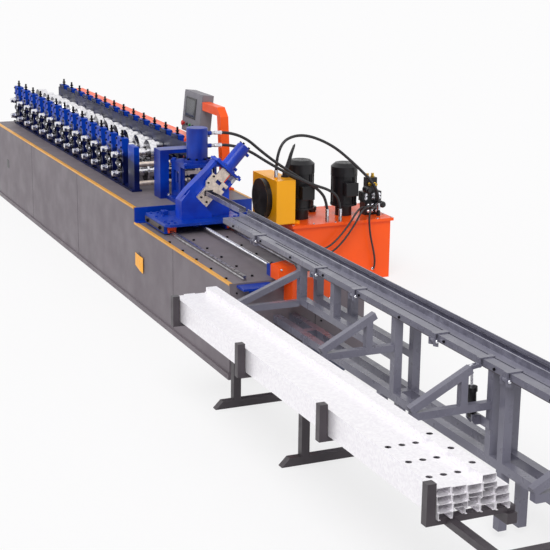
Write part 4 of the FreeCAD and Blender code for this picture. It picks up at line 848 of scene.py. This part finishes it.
hose("punch_line_upper", [(-0.06, 0.2623, 1.330), (-0.06, 0.4423, 1.330), (-0.04, 0.700, 1.105),
                          (-0.035, 0.960, 0.930), (-0.03, 1.190, 0.790), (-0.03, 1.240, 0.6603),
                          (-0.03, 1.240, 0.6003)], replaced="punch_hose_1")
hose("punch_line_lower", [(-0.06, 0.2623, 1.230), (-0.06, 0.4423, 1.230), (0.014, 0.740, 1.030),
                          (0.014, 1.030, 0.880), (-0.008, 1.300, 0.785), (-0.008, 1.350, 0.6603),
                          (-0.008, 1.350, 0.6003)], replaced="punch_hose_2")
hose("cooler_line", [(-0.10, 0.797, 0.9503), (-0.10, 0.797, 1.190), (-0.10, 1.000, 1.285),
                     (-0.10, 1.290, 1.180), (-0.10, 1.530, 0.985), (-0.10, 1.730, 0.790),
                     (-0.10, 1.765, 0.6603), (-0.10, 1.765, 0.6003)], replaced="cooler_hose")

# %% [markdown]
# Thinner lines hang in front of the tank, from the valve block down to sockets on its face.

# %% Lines in front of the tank
fronts = {
    "tank_line_a": (
        [(-0.149, 1.675, 0.60), (-0.02, 1.64, 0.615), (0.062, 1.50, 0.66), (0.060, 1.40, 0.50),
         (0.062, 1.25, 0.345), (0.030, 1.15, 0.30), (0.013, 1.13, 0.30)], 0.806),
    "tank_line_b": (
        [(-0.149, 1.715, 0.60), (-0.02, 1.68, 0.620), (0.066, 1.54, 0.66), (0.066, 1.44, 0.48),
         (0.066, 1.30, 0.315), (0.030, 1.20, 0.25), (0.013, 1.18, 0.25)], 0.835),
    "tank_line_c": (
        [(-0.149, 1.755, 0.60), (-0.02, 1.70, 0.625), (0.058, 1.59, 0.62), (0.056, 1.60, 0.43),
         (0.058, 1.66, 0.20), (0.030, 1.67, 0.10), (0.013, 1.67, 0.09)], 0.789),
}
for name, (route, length) in fronts.items():
    hose(name, route, diameter=0.016)
sockets = [(0.0003, *route[-1][1:], X) for route, length in fronts.values()]
piece("line_sockets", *repeated(bolt(0.012), sockets), zinc_plate, "machine", "bright_steel")

# %% [markdown]
# Fittings clamp each hose end. They stand on the ports, in line with the hose.

# %% Hose fittings
hose_ends = [(-0.06, 0.235, 1.330, Y), (-0.06, 0.235, 1.230, Y), (-0.03, 1.240, 0.576, Z),
             (-0.008, 1.350, 0.576, Z), (-0.10, 1.765, 0.576, Z), (-0.10, 0.797, 0.926, Z)]
sleeve = closed_ring([(0, 0.0132), (0, 0.0156), (0.056, 0.0156), (0.060, 0.0146), (0.060, 0.0132)], 24)
piece("hose_sleeves", *repeated(sleeve, hose_ends), zinc_plate, "machine", "chromed_steel")

# %% [markdown]
# **Studio.** A pale floor and an even white surround: camera, mirror and glass rays see white,
# while the light that falls on the machine comes from two broad suns and a dim sky.


# %% Floor, world and lamps
def seen_white(tree):
    """1 for camera, glossy and transmission rays, 0 for the light that falls on things."""
    rays = add(tree, "ShaderNodeLightPath")
    first = add(tree, "ShaderNodeMath", [(0, rays.outputs["Is Camera Ray"]),
                                         (1, rays.outputs["Is Glossy Ray"])],
                operation="MAXIMUM")
    return add(tree, "ShaderNodeMath",
               [(0, first.outputs[0]), (1, rays.outputs["Is Transmission Ray"])],
               operation="MAXIMUM").outputs[0]


world = bpy.data.worlds.new("studio")
scene.world = world
world.use_nodes = True
world.node_tree.nodes.clear()
sky = add(world.node_tree, "ShaderNodeBackground", [("Color", (1, 1, 1, 1)), ("Strength", 0.5)])
white = add(world.node_tree, "ShaderNodeBackground", [("Color", (1, 1, 1, 1)), ("Strength", 1.0)])
chosen = add(world.node_tree, "ShaderNodeMixShader", [(0, seen_white(world.node_tree)),
                                                      (1, sky.outputs[0]),
                                                      (2, white.outputs[0])])
add(world.node_tree, "ShaderNodeOutputWorld", [("Surface", chosen.outputs[0])])

floor_material = bpy.data.materials.new("pale_studio_floor")
floor_material.use_nodes = True
tree = floor_material.node_tree
tree.nodes.clear()
matt = add(tree, "ShaderNodeBsdfDiffuse", [("Color", light("f4f3f5"))])
glow = add(tree, "ShaderNodeEmission", [("Color", (1, 1, 1, 1)), ("Strength", 1.0)])
share = add(tree, "ShaderNodeMath", [(0, seen_white(tree)), (1, 0.72)], operation="MULTIPLY")
surface = add(tree, "ShaderNodeMixShader", [(0, share.outputs[0]), (1, matt.outputs[0]),
                                            (2, glow.outputs[0])])
add(tree, "ShaderNodeOutputMaterial", [("Surface", surface.outputs[0])])
span = np.array([(-60, -60, 0), (60, -60, 0), (60, 60, 0), (-60, 60, 0)], float)
floor_data = bpy.data.meshes.new("floor")
floor_data.from_pydata([tuple(p) for p in span], [], [(0, 1, 2, 3)])
floor_data.materials.append(floor_material)
floor = bpy.data.objects.new("floor", floor_data)
scene.collection.objects.link(floor)

SUNS = (("key_sun", 1.75, 35, (-0.62, 0.38, -0.78)), ("fill_sun", 0.55, 60, (0.35, 0.75, -0.55)))
for name, strength, spread, way in SUNS:
    lamp = bpy.data.lights.new(name, "SUN")
    lamp.energy = strength
    lamp.angle = math.radians(spread)
    lamp_object = bpy.data.objects.new(name, lamp)
    scene.collection.objects.link(lamp_object)
    lamp_object.rotation_euler = Vector(way).to_track_quat("-Z", "Y").to_euler()
scene.view_settings.view_transform = "Standard"
